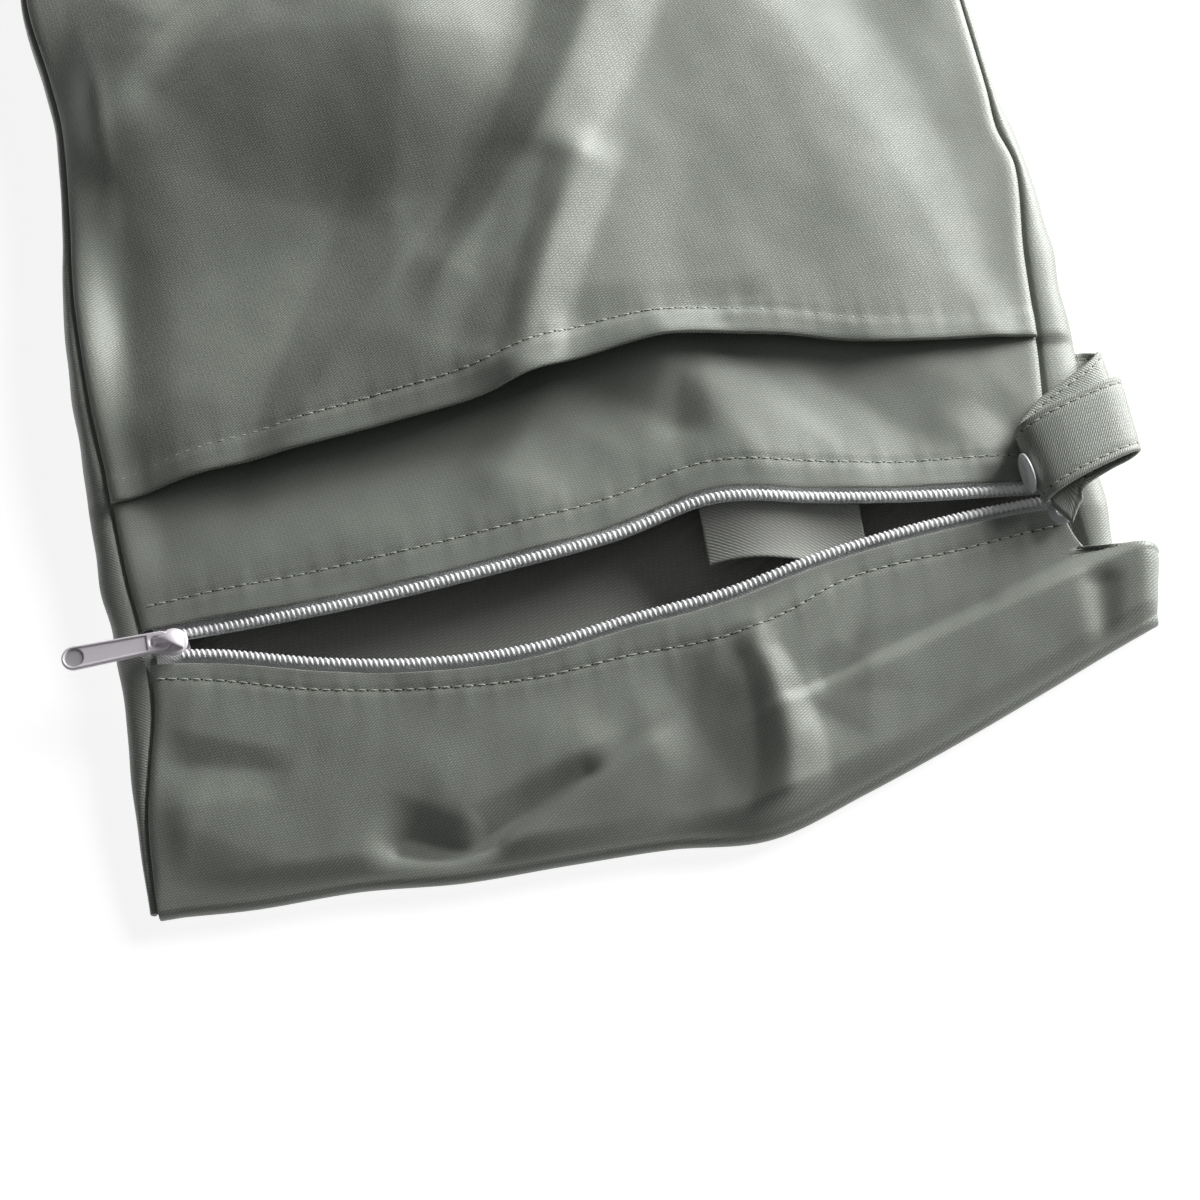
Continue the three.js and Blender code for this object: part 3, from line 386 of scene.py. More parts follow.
# Folds of the cloth: each is a ridge (or a valley, where it sinks) along a bowed line from u0, v0 to u1, v1.
# start and stop are its heights at the two ends as shares of the loft. left and right are the widths of its
# two flanks, looking along it, and bow is how far its middle swings to the left, as shares of the half width.
FOLD_COLUMNS = "u0 v0 u1 v1 bow start stop left right"
FRONT_FOLDS = table(
    FOLD_COLUMNS,
    (-0.9, 0.262, -0.27, 0.33, 0.01, 0.4, 0.54, 0.42, 0.4),
    (-0.26, 0.33, -0.317, 0.071, 0, 0.3, 0.14, 0.22, 0.56),
    (-0.86, 0.26, -0.88, -0.06, 0, -0.12, -0.14, 0.5, 0.1),
    (-0.95, -0.07, -0.31, 0.085, 0.02, -0.34, -0.46, 0.4, 0.28),
    (-0.44, 0.063, -0.66, -0.266, 0, -0.26, -0.12, 0.16, 0.32),
    (-0.94, -0.41, -0.12, -0.35, 0.02, -0.14, -0.22, 0.3, 0.16),
    (-0.06, -0.27, -0.19, -0.41, 0, 0.08, 0.12, 0.14, 0.08),
    (0.18, -0.26, 0.306, -0.452, 0, 0.14, 0.2, 0.14, 0.2),
    (0.2, -0.29, 0.17, -0.38, 0, -0.04, -0.06, 0.06, 0.05),
    (0.02, -0.29, 0.17, -0.38, 0, -0.1, -0.1, 0.09, 0.09),
    (0.5, -0.355, 0.63, -0.44, 0, -0.12, -0.14, 0.12, 0.12),
    (0.8, -0.43, 0.87, -0.5, 0, -0.06, -0.08, 0.08, 0.08),
)


CREST, FOOT = 0.16, 0.12  # rounding of a fold's crest and foot, as shares of its flank


def crease(aside):
    """A tent from 1 at its crest to 0 at 1 aside, t = 1 + CREST - hypot(CREST, aside), and of that the soft
    positive part, (t + hypot(t, FOOT)) / 2."""
    tent = 1 + CREST - np.hypot(CREST, aside)
    return (tent + np.hypot(tent, FOOT)) / 2


def fold_height(folds, x, y):
    """Sum over the folds of their height times crease(aside / flank), fading past each end as exp(-past^2).
    Like a cone, a fold is as much narrower than its flank as it is lower than its highest point."""
    height = np.zeros_like(x)
    for u0, v0, u1, v1, bow, start, stop, left, right in zip(*folds.values()):
        dx, dy = (u1 - u0) * HALF_WIDTH, (v1 - v0) * HALF_LENGTH
        length = np.hypot(dx, dy)
        from_x, from_y = x - u0 * HALF_WIDTH, y - v0 * HALF_LENGTH
        t = (from_x * dx + from_y * dy) / length**2
        inside = np.clip(t, 0, 1)
        swing = 4 * inside * (1 - inside) * bow * HALF_WIDTH
        aside = (from_y * dx - from_x * dy) / length - swing
        rise = start + (stop - start) * inside
        flank = np.where(aside > 0, left, right) * HALF_WIDTH * (abs(rise) / max(abs(start), abs(stop)))
        past = (t - inside) * length * 3 / ((left + right) * HALF_WIDTH)
        height += LOFT * rise * crease(aside / flank) * np.exp(-(past**2))
    return height


def across_share(x, y):
    """Where x lies between the two front seams, from -1 to 1."""
    left, right = HALF_WIDTH * section(y, "left"), HALF_WIDTH * section(y, "right")
    return np.clip((2 * x - left - right) / (right - left), -1, 1)


def seam_fade(x, y):
    """1 over most of the cloth and 0 at its seams, with a smooth step over the last tenth."""
    return 1 - smooth(0.9, 1, abs(across_share(x, y)))


def ripples(x, y, size, height, seed):
    """Soft unevenness of cloth: seven sine waves in random directions, about size mm long, as their sum
    divided by the square root of seven."""
    draw = np.random.default_rng(seed)
    total = 0
    for _ in range(7):
        angle, phase = draw.uniform(0, 2 * np.pi, 2)
        wave = 2 * np.pi / (size * draw.uniform(0.7, 1.5))
        total = total + np.sin((x * np.cos(angle) + y * np.sin(angle)) * wave + phase)
    return height * total / 7**0.5


def front_height(x, y):
    """Middle of the front: rest + loft (side + (crown - side) (1 - |across|^2.2)) and the folds."""
    side, crown = section(y, "side"), section(y, "crown")
    swell = 1 - abs(across_share(x, y)) ** 2.2
    return REST + LOFT * (side + (crown - side) * swell) + seam_fade(x, y) * fold_height(FRONT_FOLDS, x, y)


def upper_lip(x):
    """Y of the front panel's folded edge, which lies LIP_INSET beyond the upper coil."""
    return line(x, "upper") + LIP_INSET


ROLL_REACH, ROLL_DROP = 2.6, 1.1  # how wide and how deep a cloth's side turns down into its seam


def seam_roll(x, y, drop):
    """How far a cloth's side turns down into its seam: a quarter circle over the last ROLL_REACH mm."""
    left, right = HALF_WIDTH * section(y, "left"), HALF_WIDTH * section(y, "right")
    q = np.clip(np.minimum(x - left, right - x) / ROLL_REACH, 0, 1)
    return drop * (1 - np.sqrt(1 - (1 - q) ** 2))


GROOVE_DEPTH, GROOVE_WIDTH = 0.3, 1.1
PUCKER_HEIGHT, PUCKER_REACH = 0.07, 5
GATHER_LONG, GATHER_SHORT = 7.3, 4.4  # how far apart the thread gathers the cloth


def sewn_line(distance, x, seed=1):
    """A line of stitches pulls the cloth down in a narrow groove, with small puckers on both sides: two sine
    waves along it, which fade with the distance from it."""
    gathers = np.sin(2 * np.pi * x / GATHER_LONG + 2 * np.sin(x / 19 + seed))
    gathers = gathers + 0.6 * np.sin(2 * np.pi * x / GATHER_SHORT + seed)
    groove = -GROOVE_DEPTH * np.exp(-((distance / GROOVE_WIDTH) ** 2))
    return groove + PUCKER_HEIGHT * gathers * np.exp(-abs(distance) / PUCKER_REACH)


# How far the stitched line lies from the upper coil's line, in mm
UPPER_STITCH = table("u off", (-0.95, 10), (-0.7, 11.6), (-0.38, 12.4), (0, 12), (0.3, 11.6), (0.94, 11.6))


def upper_stitch(x):
    """Y of the stitched line beyond the zip."""
    return line(x, "upper") + column_at(UPPER_STITCH, "u", x / HALF_WIDTH, "off")


def front_cloth_height(x, y):
    """The front's height with its fine ripples, its stitched groove and a lip that waves by 0.25 mm."""
    fine = ripples(x, y, 34, 0.16, 3) + ripples(x, y, 11, 0.04, 4)
    lip = y - upper_lip(x)
    wavy = 0.25 * np.sin(x / 5.1 + np.sin(x / 13)) * np.exp(-lip / 4)
    sewn = sewn_line(y - upper_stitch(x), x)
    return front_height(x, y) + seam_fade(x, y) * (fine + sewn + wavy) - seam_roll(x, y, ROLL_DROP)


FRONT_LENGTH, FRONT_WIDTH = 310, 290
BARE_SHARE = 0.17  # share of the front that shows below the pocket's hem; the hidden rest has few rows
lip_rows = rows_between(FRONT_LENGTH, 1.25)
run = np.concatenate((lip_rows[lip_rows < BARE_SHARE], np.linspace(BARE_SHARE, 1, 30)))
across = rows_between(FRONT_WIDTH, 1.3)
x, y = panel_grid(across, run, upper_lip, far_edge)
middle = np.stack((x, y, front_cloth_height(x, y)), -1)
front_round = border_round(run, across, FRONT_LENGTH, FRONT_WIDTH, WALL)
front_cloth, flat, area = cloth_slab("front_cloth", middle, front_round, (twill, knit), middle[..., :2])
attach(front_cloth, "bag")
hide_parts("front_panel")


def along_line(points, places):
    """Points at distances along a line through points, joined straight, and the line's whole length."""
    far = np.concatenate(([0], np.cumsum(np.linalg.norm(np.diff(points, axis=0), axis=1))))
    return np.stack([np.interp(places, far, points[:, k]) for k in range(3)], -1), far[-1]


def small_tubes(points, normals, starts, length, wide, tall, lift):
    """Short tubes that follow a line on the cloth, one from each start. Each swells from its ends to its
    middle as sin^0.4, and stands lift mm off the cloth at its middle and as deep in it at its ends."""
    rings, sides = 7, 6
    t = np.linspace(0.02, 0.98, rings)
    swell = np.sin(np.pi * t) ** 0.4
    places = (starts[:, None] + length * t).ravel()
    centre, _ = along_line(points, places)
    ahead, _ = along_line(points, places + 0.3)
    far = np.concatenate(([0], np.cumsum(np.linalg.norm(np.diff(points, axis=0), axis=1))))
    up = np.stack([np.interp(places, far, normals[:, k]) for k in range(3)], -1)
    up /= np.linalg.norm(up, axis=1, keepdims=True)
    beside = np.cross(up, ahead - centre)
    beside /= np.maximum(np.linalg.norm(beside, axis=1, keepdims=True), 1e-9)
    rise = np.tile(lift * (2 * np.sin(np.pi * t) ** 0.7 - 1), len(starts))[:, None]
    centre = centre + up * rise
    angle = np.arange(sides) * 2 * np.pi / sides
    size = np.tile(swell, len(starts))[:, None, None] / 2
    cosine, sine = np.cos(angle)[None, :, None], np.sin(angle)[None, :, None]
    ring = centre[:, None] + size * (wide * cosine * beside[:, None] + tall * sine * up[:, None])
    faces = grid_faces(rings, sides, around=True)
    ends = np.array([(0, 1, 2, 3), (0, 3, 4, 5)])
    last = (rings - 1) * sides
    faces = np.concatenate((faces, ends[:, ::-1], ends + last))
    shift = np.arange(len(starts))[:, None, None] * rings * sides
    return ring.reshape(-1, 3), (faces[None] + shift).reshape(-1, 4)


SLOPE_STEP = 0.4


def surface_normals(height, x, y):
    """Unit normals of a height surface, from its slopes over SLOPE_STEP."""
    half = SLOPE_STEP / 2
    slope_x = (height(x + half, y) - height(x - half, y)) / SLOPE_STEP
    slope_y = (height(x, y + half) - height(x, y - half)) / SLOPE_STEP
    normal = np.stack((-slope_x, -slope_y, np.ones_like(x)), -1)
    return normal / np.linalg.norm(normal, axis=1, keepdims=True)


STITCH_PITCH, STITCH_LENGTH, THREAD = 3.5, 2.7, 0.5
HOLE_LENGTH, HOLE_WIDTH, HOLE_HEIGHT = 0.7, 0.75, 0.3


def topstitch(name, lines, thread=THREAD):
    """A row of lockstitches for each line, given as points on the cloth and normals: the thread lies on the
    cloth for each stitch and dives into a needle hole between two."""
    points, faces, looks, start = [], [], [], 0
    for line_points, line_normals in lines:
        _, total = along_line(line_points, np.array([0.0]))
        starts = np.arange((total % STITCH_PITCH) / 2, total - STITCH_LENGTH, STITCH_PITCH)
        holes = starts[:-1] + STITCH_LENGTH + (STITCH_PITCH - STITCH_LENGTH) / 2 - HOLE_LENGTH / 2
        for row, size, wide, tall, lift, look in (
            (starts, STITCH_LENGTH, thread, thread * 0.8, thread * 0.3, 0),
            (holes, HOLE_LENGTH, HOLE_WIDTH, HOLE_HEIGHT, 0.0, 1),
        ):
            more, quads = small_tubes(line_points, line_normals, row, size, wide, tall, lift)
            points.append(more)
            faces.append(quads + start)
            looks.append(np.full(len(quads), look))
            start += len(more)
    finishes = (sewing_thread, needle_hole)
    return mesh_piece(name, np.concatenate(points), np.concatenate(faces), finishes, np.concatenate(looks))


def plain(name, colour, roughness, grain=1500, contrast=0.04, depth=0.01, coat=0.0, sheen=0.0):
    """A smooth finish with faint grain: noise of about 1 / grain metres varies its colour and its height."""
    look = bpy.data.materials.new(name)
    look.use_nodes = True
    tree = look.node_tree
    tree.nodes.clear()
    place = add_node(tree, "ShaderNodeTexCoord")
    noise = add_node(tree, "ShaderNodeTexNoise", {
        "Vector": place.outputs["Object"], "Scale": grain, "Detail": 3.0,
    })
    amount = add_node(tree, "ShaderNodeMapRange", {
        "Value": noise.outputs["Fac"], "From Min": 0.3, "From Max": 0.7,
        "To Min": 1 - contrast, "To Max": 1 + contrast,
    })
    colour = add_node(tree, "ShaderNodeVectorMath", {
        0: linear(colour)[:3], "Scale": amount.outputs[0],
    }, operation="SCALE")
    bump = add_node(tree, "ShaderNodeBump", {
        "Height": noise.outputs["Fac"], "Distance": depth * MM, "Strength": 0.6,
    })
    shader = add_node(tree, "ShaderNodeBsdfPrincipled", {
        "Base Color": colour.outputs[0], "Roughness": roughness, "Normal": bump.outputs[0], "IOR": 1.5,
        "Coat Weight": coat, "Sheen Weight": sheen,
    })
    add_node(tree, "ShaderNodeOutputMaterial", {"Surface": shader.outputs[0]})
    return look


# Spun polyester thread, dyed to the cloth: fine fuzzy strands and a faint gloss
sewing_thread = plain("polyester_thread", "#a6aaa0", 0.55, grain=3000, contrast=0.12, depth=0.05, sheen=0.2)
# The needle's holes: the same thread in deep shade
needle_hole = plain("needle_hole_shade", "#2c2e2b", 0.9)


def line_on(height, line_y, x0, x1, lift):
    """A sewn line on a height surface, with its normals, every 0.7 mm from x0 to x1."""
    x = np.linspace(x0, x1, int(abs(x1 - x0) / 0.7))
    y = line_y(x)
    normals = surface_normals(height, x, y)
    return np.stack((x, y, height(x, y)), -1) + normals * lift, normals


upper_stitching = topstitch("zip_topstitch_upper", [
    line_on(front_cloth_height, upper_stitch, HALF_WIDTH * -0.938, HALF_WIDTH * 0.90, WALL / 2),
])
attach(upper_stitching, "bag")

# Slip pocket: a second twill cloth on the front, sewn in with the side seams. Its hem is folded to the inside
# and topstitched, gapes a little, and throws the deep shadow on the panel under it.

POCKET_LENGTH, POCKET_WIDTH = 270, 294
POCKET_PUFF = 7.5  # how far the pocket gapes under its hem
HEM_DEPTH = 8.5
POCKET_ROLL = 1.5  # how deep its sides turn down into the seams
POCKET_FOLDS = table(
    FOLD_COLUMNS,
    (-0.225, -0.075, 0.2, 0.42, -0.05, 0.18, 0.3, 0.11, 0.13),
    (-0.2, -0.05, 0.2, 0.42, -0.05, 0.1, 0.12, 0.14, 0.4),
    (-0.13, -0.26, 0.068, 0.053, 0.01, 0.22, 0.2, 0.11, 0.08),
    (-0.13, -0.26, 0.068, 0.053, 0.01, 0.26, 0.16, 0.34, 0.3),
    (-0.154, -0.218, -0.011, 0.054, 0, -0.08, -0.08, 0.12, 0.05),
    (0.484, 0.36, 0.66, -0.14, 0, 0.12, 0.06, 0.26, 0.3),
    (0.68, 0.42, 0.91, -0.17, 0.05, -0.18, -0.1, 0.14, 0.2),
    (-0.775, 0.44, -0.976, 0.3, 0.01, 0.14, 0.14, 0.08, 0.14),
    (-0.98, 0.26, -0.94, 0.18, 0, -0.12, -0.12, 0.06, 0.06),
    (-0.546, 0.463, -0.76, 0.322, 0, -0.18, -0.14, 0.14, 0.08),
    (0, -0.205, 0.34, -0.2, 0, -0.06, -0.04, 0.06, 0.05),
)


def pocket_height(x, y):
    """Middle of the pocket: the front's height, the clearance, and the soft positive part of puff and folds.
    It lies on the front at the seams and the far end, and gapes at its hem."""
    opening = 1 - smooth(0.1, 0.92, y / HALF_LENGTH)
    puff = POCKET_PUFF * share(x, "puff") * opening
    folds = fold_height(POCKET_FOLDS, x, y) * (1 - smooth(0.6, 0.95, y / HALF_LENGTH))
    swell = seam_fade(x, y) * (puff + folds)
    return front_height(x, y) + WALL + GAP + SLACK + (swell + np.hypot(swell, 2 * SLACK)) / 2


def hem(x):
    """Y of the pocket's folded hem."""
    return line(x, "hem")


# How far the stitched line lies from the hem, in mm
HEM_STITCH = table(
    "u off",
    (-0.97, 6.6), (-0.7, 8.6), (-0.4, 9.6), (0, 9.8), (0.3, 8.6), (0.7, 7.4), (0.95, 6.8),
)


def hem_stitch(x):
    """Y of the stitched line along the hem."""
    return hem(x) + column_at(HEM_STITCH, "u", x / HALF_WIDTH, "off")


def pocket_cloth_height(x, y):
    """The pocket's height with its fine ripples, its stitched groove and a hem that waves by 0.2 mm."""
    fine = ripples(x, y, 40, 0.2, 5) + ripples(x, y, 12, 0.04, 6)
    wavy = 0.2 * np.sin(x / 6.3 + 2 * np.sin(x / 21)) * np.exp(-(y - hem(x)) / 6)
    sewn = sewn_line(y - hem_stitch(x), x, seed=2)
    return pocket_height(x, y) + seam_fade(x, y) * (fine + sewn + wavy) - seam_roll(x, y, POCKET_ROLL)


run, across = rows_between(POCKET_LENGTH, 1.5), rows_between(POCKET_WIDTH, 1.5)
x, y = panel_grid(across, run, hem, far_edge)
middle = np.stack((x, y, pocket_cloth_height(x, y)), -1)
doubled = WALL + 2 * SLACK * (1 - smooth(HEM_DEPTH - 1, HEM_DEPTH + 0.5, y - hem(x)))
pocket_round = border_round(run, across, POCKET_LENGTH, POCKET_WIDTH, doubled, 0.8)
pocket_cloth, flat, area = cloth_slab("pocket_cloth", middle, pocket_round, (twill, twill), middle[..., :2])
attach(pocket_cloth, "bag")
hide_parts("pocket_panel")

hem_stitching = topstitch("pocket_hem_topstitch", [
    line_on(pocket_cloth_height, hem_stitch, HALF_WIDTH * -0.955, HALF_WIDTH * 0.925, WALL / 2 + 0.05),
])
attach(hem_stitching, "bag")

# Band between the zip and the folded end: twill, stitched to the lower zip tape. It wraps round the end in a
# soft fold, is creased by the turned-up strip at its right, and stands out as a boxed ear at that corner.

BAND_FOLDS = table(
    FOLD_COLUMNS,
    (0.235, -0.75, 0.214, -1.03, 0.04, 0.1, 0.2, 0.08, 0.07),
    (0.255, -0.82, 0.214, -1.03, 0.02, 0.2, 0.3, 0.4, 0.2),
    (0.07, -0.8, 0.14, -0.92, 0, -0.06, -0.12, 0.16, 0.12),
    (0.42, -0.77, 0.33, -0.85, 0, -0.06, -0.14, 0.1, 0.08),
    (-0.37, -1.01, -0.01, -0.87, 0, 0.14, 0.1, 0.04, 0.14),
    (-0.33, -0.955, -0.14, -0.89, 0, -0.18, -0.1, 0.06, 0.04),
    (-0.36, -0.925, -0.13, -0.855, 0.02, 0.12, 0.1, 0.14, 0.05),
    (-0.5, -0.95, -0.38, -1, 0, -0.26, -0.24, 0.08, 0.07),
    (-0.88, -0.875, -0.55, -0.975, -0.02, 0.12, 0.12, 0.3, 0.1),
    (-0.93, -0.77, -0.76, -0.8, 0, -0.12, -0.08, 0.06, 0.08),
    (0.34, -0.83, 1.02, -0.69, 0, 0.1, 0.22, 0.04, 0.26),
    (0.36, -0.812, 0.7, -0.735, 0, -0.05, -0.03, 0.05, 0.03),
    (0.94, -0.73, 0.925, -0.83, 0, -0.12, -0.08, 0.04, 0.04),
)
NOSE_TOP = WALL / 2 + 2 * NOSE_RADIUS
BAND_LENGTH, BAND_WIDTH = 80, 305
EAR_HEIGHT = 0.6  # what is left of the band's rise where the ear closes on the back panel
EAR_ROUND = 6  # over how much the ear closes
EAR_BLEND = 4  # how far the ear stands out where its closing is in full


def lower_lip(x):
    """Y of the band's folded edge, which lies LIP_INSET before the lower coil."""
    return line(x, "lower") - LIP_INSET


def nose_start(x):
    """Y where the band begins to turn round the end."""
    return line(x, "end") + NOSE_RADIUS


def band_height(x, y):
    """Middle of the band: it falls from the lip to the end fold as run^0.8, with its folds on top. The folds
    fade at the end, at the lip and at the left seam, and no valley takes more than 0.4 of the rise."""
    run = np.clip((y - nose_start(x)) / (lower_lip(x) - nose_start(x)), 0, 1)
    base = NOSE_TOP + (REST + LOFT * share(x, "lip") - NOSE_TOP) * run**0.8
    free = smooth(0, 0.12, run) * (1 - smooth(0.86, 1, run)) * smooth(-1, -0.92, across_share(x, y))
    folds = fold_height(BAND_FOLDS, x, y) * free
    return base + np.maximum(folds, 0.4 * (REST - base))


# How far the stitched line lies from the lower coil's line, in mm
LOWER_STITCH = table(
    "u off",
    (-0.95, -7.2), (-0.7, -8.8), (-0.42, -8.0), (-0.2, -9), (0, -10.6), (0.22, -13.4), (0.32, -12.6),
    (0.45, -9.2), (0.7, -9.6), (0.94, -7.6),
)


def lower_stitch(x):
    """Y of the stitched line on the band."""
    return line(x, "lower") + column_at(LOWER_STITCH, "u", x / HALF_WIDTH, "off")


def band_cloth_height(x, y):
    """The band's height with its fine ripples, its stitched groove, a lip that waves by 0.22 mm, and its left
    side turned down. The ear's free edge closes down to the back panel along a quarter circle."""
    run = np.clip((y - nose_start(x)) / (lower_lip(x) - nose_start(x)), 0, 1)
    fine = ripples(x, y, 30, 0.16, 7) + ripples(x, y, 11, 0.04, 8)
    lip = lower_lip(x) - y
    wavy = 0.22 * np.sin(x / 5.6 + np.sin(x / 11)) * np.exp(-lip / 4)
    sewn = sewn_line(y - lower_stitch(x), x, seed=5)
    left = HALF_WIDTH * section(y, "left")
    roll = 1 - np.sqrt(1 - (1 - np.clip((x - left) / ROLL_REACH, 0, 1)) ** 2)
    detail = seam_fade(x, y) * (fine + sewn + wavy) - ROLL_DROP * roll
    height = band_height(x, y) + smooth(0, 0.15, run) * detail
    ear = smooth(0, EAR_BLEND, ear_out(y))
    edge = HALF_WIDTH * section(y, "right") + ear_out(y) - x
    shut = 1 - np.sqrt(1 - (1 - np.clip(edge / EAR_ROUND, 0, 1)) ** 2)
    return height - ear * shut * (height - REST - EAR_HEIGHT)


face_rows = np.concatenate((rows_between(BAND_LENGTH, 1.15)[:-5], [1.0]))
nose_turn = np.linspace(0, np.pi, 15)[1:]
across = rows_between(BAND_WIDTH, 1.2)
x, y = panel_grid(across, face_rows, lower_lip, nose_start, ear_out)
z = band_cloth_height(x, y)
turn = nose_turn[:, None]
nose_x = np.repeat(x[-1:], len(nose_turn), 0)
nose_y = y[-1:] - NOSE_RADIUS * np.sin(turn)
nose_z = z[-1:] - (z[-1:] - WALL / 2) / 2 * (1 - np.cos(turn))
face, nose = np.stack((x, y, z), -1), np.stack((nose_x, nose_y, nose_z), -1)
middle = np.concatenate((face, nose))
unrolled_y = np.concatenate((y, y[-1:] - turn * NOSE_RADIUS))
rows_mm = np.concatenate((face_rows * BAND_LENGTH, BAND_LENGTH + nose_turn * NOSE_RADIUS))
run = rows_mm / rows_mm[-1]
band_cloth, flat, area = cloth_slab(
    "band_cloth", middle, border_round(run, across, rows_mm[-1], BAND_WIDTH, WALL), (twill, knit),
    np.stack((middle[..., 0], unrolled_y), -1),
)
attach(band_cloth, "bag")
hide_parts("top_band")

lower_stitching = topstitch("zip_topstitch_lower", [
    line_on(band_cloth_height, lower_stitch, HALF_WIDTH * -0.93, HALF_WIDTH * 0.905, WALL / 2),
])
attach(lower_stitching, "bag")

# Side gussets: narrow twill strips between the back and the front, seamed to both. They bulge out past the
# front seam, most beside the zip.

GUSSET_LENGTH, GUSSET_DEPTH = 380, 20
SEAM_ALLOWANCE = 3  # how far the strip goes on under the front
ALLOWANCE_DROP = 0.9  # how far the allowance lies below the seam
ALLOWANCE_ROWS = 0.12  # its rows, as a share of the strip's
SEAM_DROP = 1.1  # the seam lies that far below the middle of the front's side
DIP = 0.8
HEM_RISE = 1.7  # the seam is as much higher where the pocket is sewn in with it


def seam_height(x, y):
    """Height of the cloth at a side seam, also beside the zip's end, where neither panel reaches."""
    upper, lower = upper_lip(x), lower_lip(x)
    between = np.clip((y - lower) / (upper - lower), 0, 1)
    bridged = band_height(x, lower) + (front_height(x, upper) - band_height(x, lower)) * between
    height = np.where(y >= upper, front_height(x, y), np.where(y <= lower, band_height(x, y), bridged))
    return height + HEM_RISE * smooth(-2, 1, y - hem(x))


def gusset(name, side, near_share, far_share):
    """A strip whose section is half an ellipse, from the seam at its top round to the back panel, with a dip
    beside the seam. Above the seam its first rows are the seam allowance, turned in under the front."""
    outward = -1 if side == "left" else 1
    run = rows_between(GUSSET_LENGTH, 1.6)
    rise = np.concatenate((np.linspace(-ALLOWANCE_ROWS, -0.03, 4), rows_between(GUSSET_DEPTH, 0.8)))
    places = HALF_LENGTH * (near_share + (far_share - near_share) * run)
    along, turn = np.meshgrid(places, np.pi * rise, indexing="ij")
    tuck = np.clip(-turn / np.pi / ALLOWANCE_ROWS, 0, 1)
    turn = np.maximum(turn, 0)
    seam = HALF_WIDTH * section(along, side) + outward * (WALL / 2 + GAP / 2)
    top = seam_height(HALF_WIDTH * section(along, side), along) - SEAM_DROP
    low = WALL + GAP + WALL / 2
    bulge = HALF_WIDTH * section(along, side + "_bulge") + 0.4
    out = bulge * np.sin(turn) ** 0.8 * (1 + 0.06 * ripples(along, turn * 8, 26, 1, 9))
    dip = DIP * np.exp(-((out / DIP) ** 2)) * (turn < np.pi / 2)
    z = (top + low) / 2 + (top - low) / 2 * np.cos(turn) - dip + 0.12 * ripples(along, turn * 6, 22, 1, 10)
    x = seam + outward * (out - SEAM_ALLOWANCE * tuck)
    middle = np.stack((x, along, z - ALLOWANCE_DROP * smooth(0, 0.4, tuck)), -1)
    rounded = border_round(run, np.maximum(rise, 0.01), GUSSET_LENGTH, GUSSET_DEPTH, WALL)
    piece, flat, area = cloth_slab(name, middle, rounded, (twill, knit))
    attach(piece, "bag")
    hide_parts(side + "_gusset")


gusset("left_gusset_cloth", "left", -0.98, 0.93)
gusset("right_gusset_cloth", "right", -0.735, 0.93)

# Zip tapes: two woven polyester ribbons, sewn under the lips, that carry the coils along their bare edges

TAPE_THICKNESS, TAPE_WIDTH = 0.6, 11
COIL_HEIGHT = 2.2
SLIDER_LENGTH, SLIDER_WIDTH = 11, 8.6
TAPE_DROP = WALL / 2 + TAPE_THICKNESS / 2 + GAP + SLACK  # from a lip's middle down to its tape's middle
CLEAR = WALL + GAP + SLACK  # from a seam to the end of the zip


def lip_tape_height(which, x, y):
    """Middle of a tape under the lip that it is sewn to."""
    if which == "upper":
        return front_height(x, np.maximum(y, upper_lip(x))) - TAPE_DROP
    return band_height(x, np.minimum(y, lower_lip(x))) - TAPE_DROP


def line_at(column, x):
    """Y of one of the lines across the bag, at a single x."""
    return float(line(np.array([x]), column)[0])


def seam_at(side, y):
    """X of a front seam at a single y."""
    return HALF_WIDTH * float(section(np.array([y]), side)[0])


zip_left = seam_at("left", line_at("lower", -HALF_WIDTH) - TAPE_WIDTH) + CLEAR
zip_right = seam_at("right", line_at("upper", HALF_WIDTH)) - CLEAR
slider_x = seam_at("left", line_at("upper", -HALF_WIDTH)) + CLEAR + SLIDER_LENGTH / 2
slider_y = (line_at("upper", slider_x) + line_at("lower", slider_x)) / 2
at_slider = np.array([slider_x])
slider_z = min(
    float(lip_tape_height("upper", at_slider, line(at_slider, "upper"))[0]),
    float(lip_tape_height("lower", at_slider, line(at_slider, "lower"))[0]),
)


def tape_height(which, x, y):
    """A tape's middle all along: both sink to one height where the slider joins them."""
    away = smooth(slider_x, slider_x + 4 * SLIDER_LENGTH, x)
    free = lip_tape_height(which, x, y)
    low = np.minimum(slider_z, free)
    return low + (free - low) * away


# Polyester zip tape: a close slanting weave, white, with a dry gloss. Its ribs are drawn 0.8 mm apart.
tape_weave = woven("polyester_zip_tape", "#f0f1f1", "#cccdcd", 0.8, 45, 0.8, 0.06, 0.6, 0.2)

zip_length = zip_right - zip_left
for which, inward, lip_cloth in (("upper", 1, "front_cloth"), ("lower", -1, "band_cloth")):
    along, over = rows_between(zip_length, 1.3), rows_between(TAPE_WIDTH, 0.7)
    x, over_grid = np.meshgrid(zip_left + zip_length * along, over, indexing="ij")
    y = line(x, which) + inward * (over_grid * TAPE_WIDTH - COIL_WIDTH / 2)
    middle = np.stack((x, y, tape_height(which, x, y)), -1)
    tape, flat, area = cloth_slab(
        "zip_tape_cloth_" + which, middle,
        border_round(along, over, zip_length, TAPE_WIDTH, TAPE_THICKNESS, TAPE_THICKNESS / 2),
        (tape_weave, tape_weave),
    )
    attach(tape, "bag")
    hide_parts("zip_tape_" + which)

# Zip coils: each is one nylon monofilament wound into flat turns round a cord, with a head on every turn at
# its free side. The turns are about as far apart as on a common 5 mm zip. The wire is drawn thicker than a
# real one of about 0.7 mm, so that the row looks as closed as the real one does.

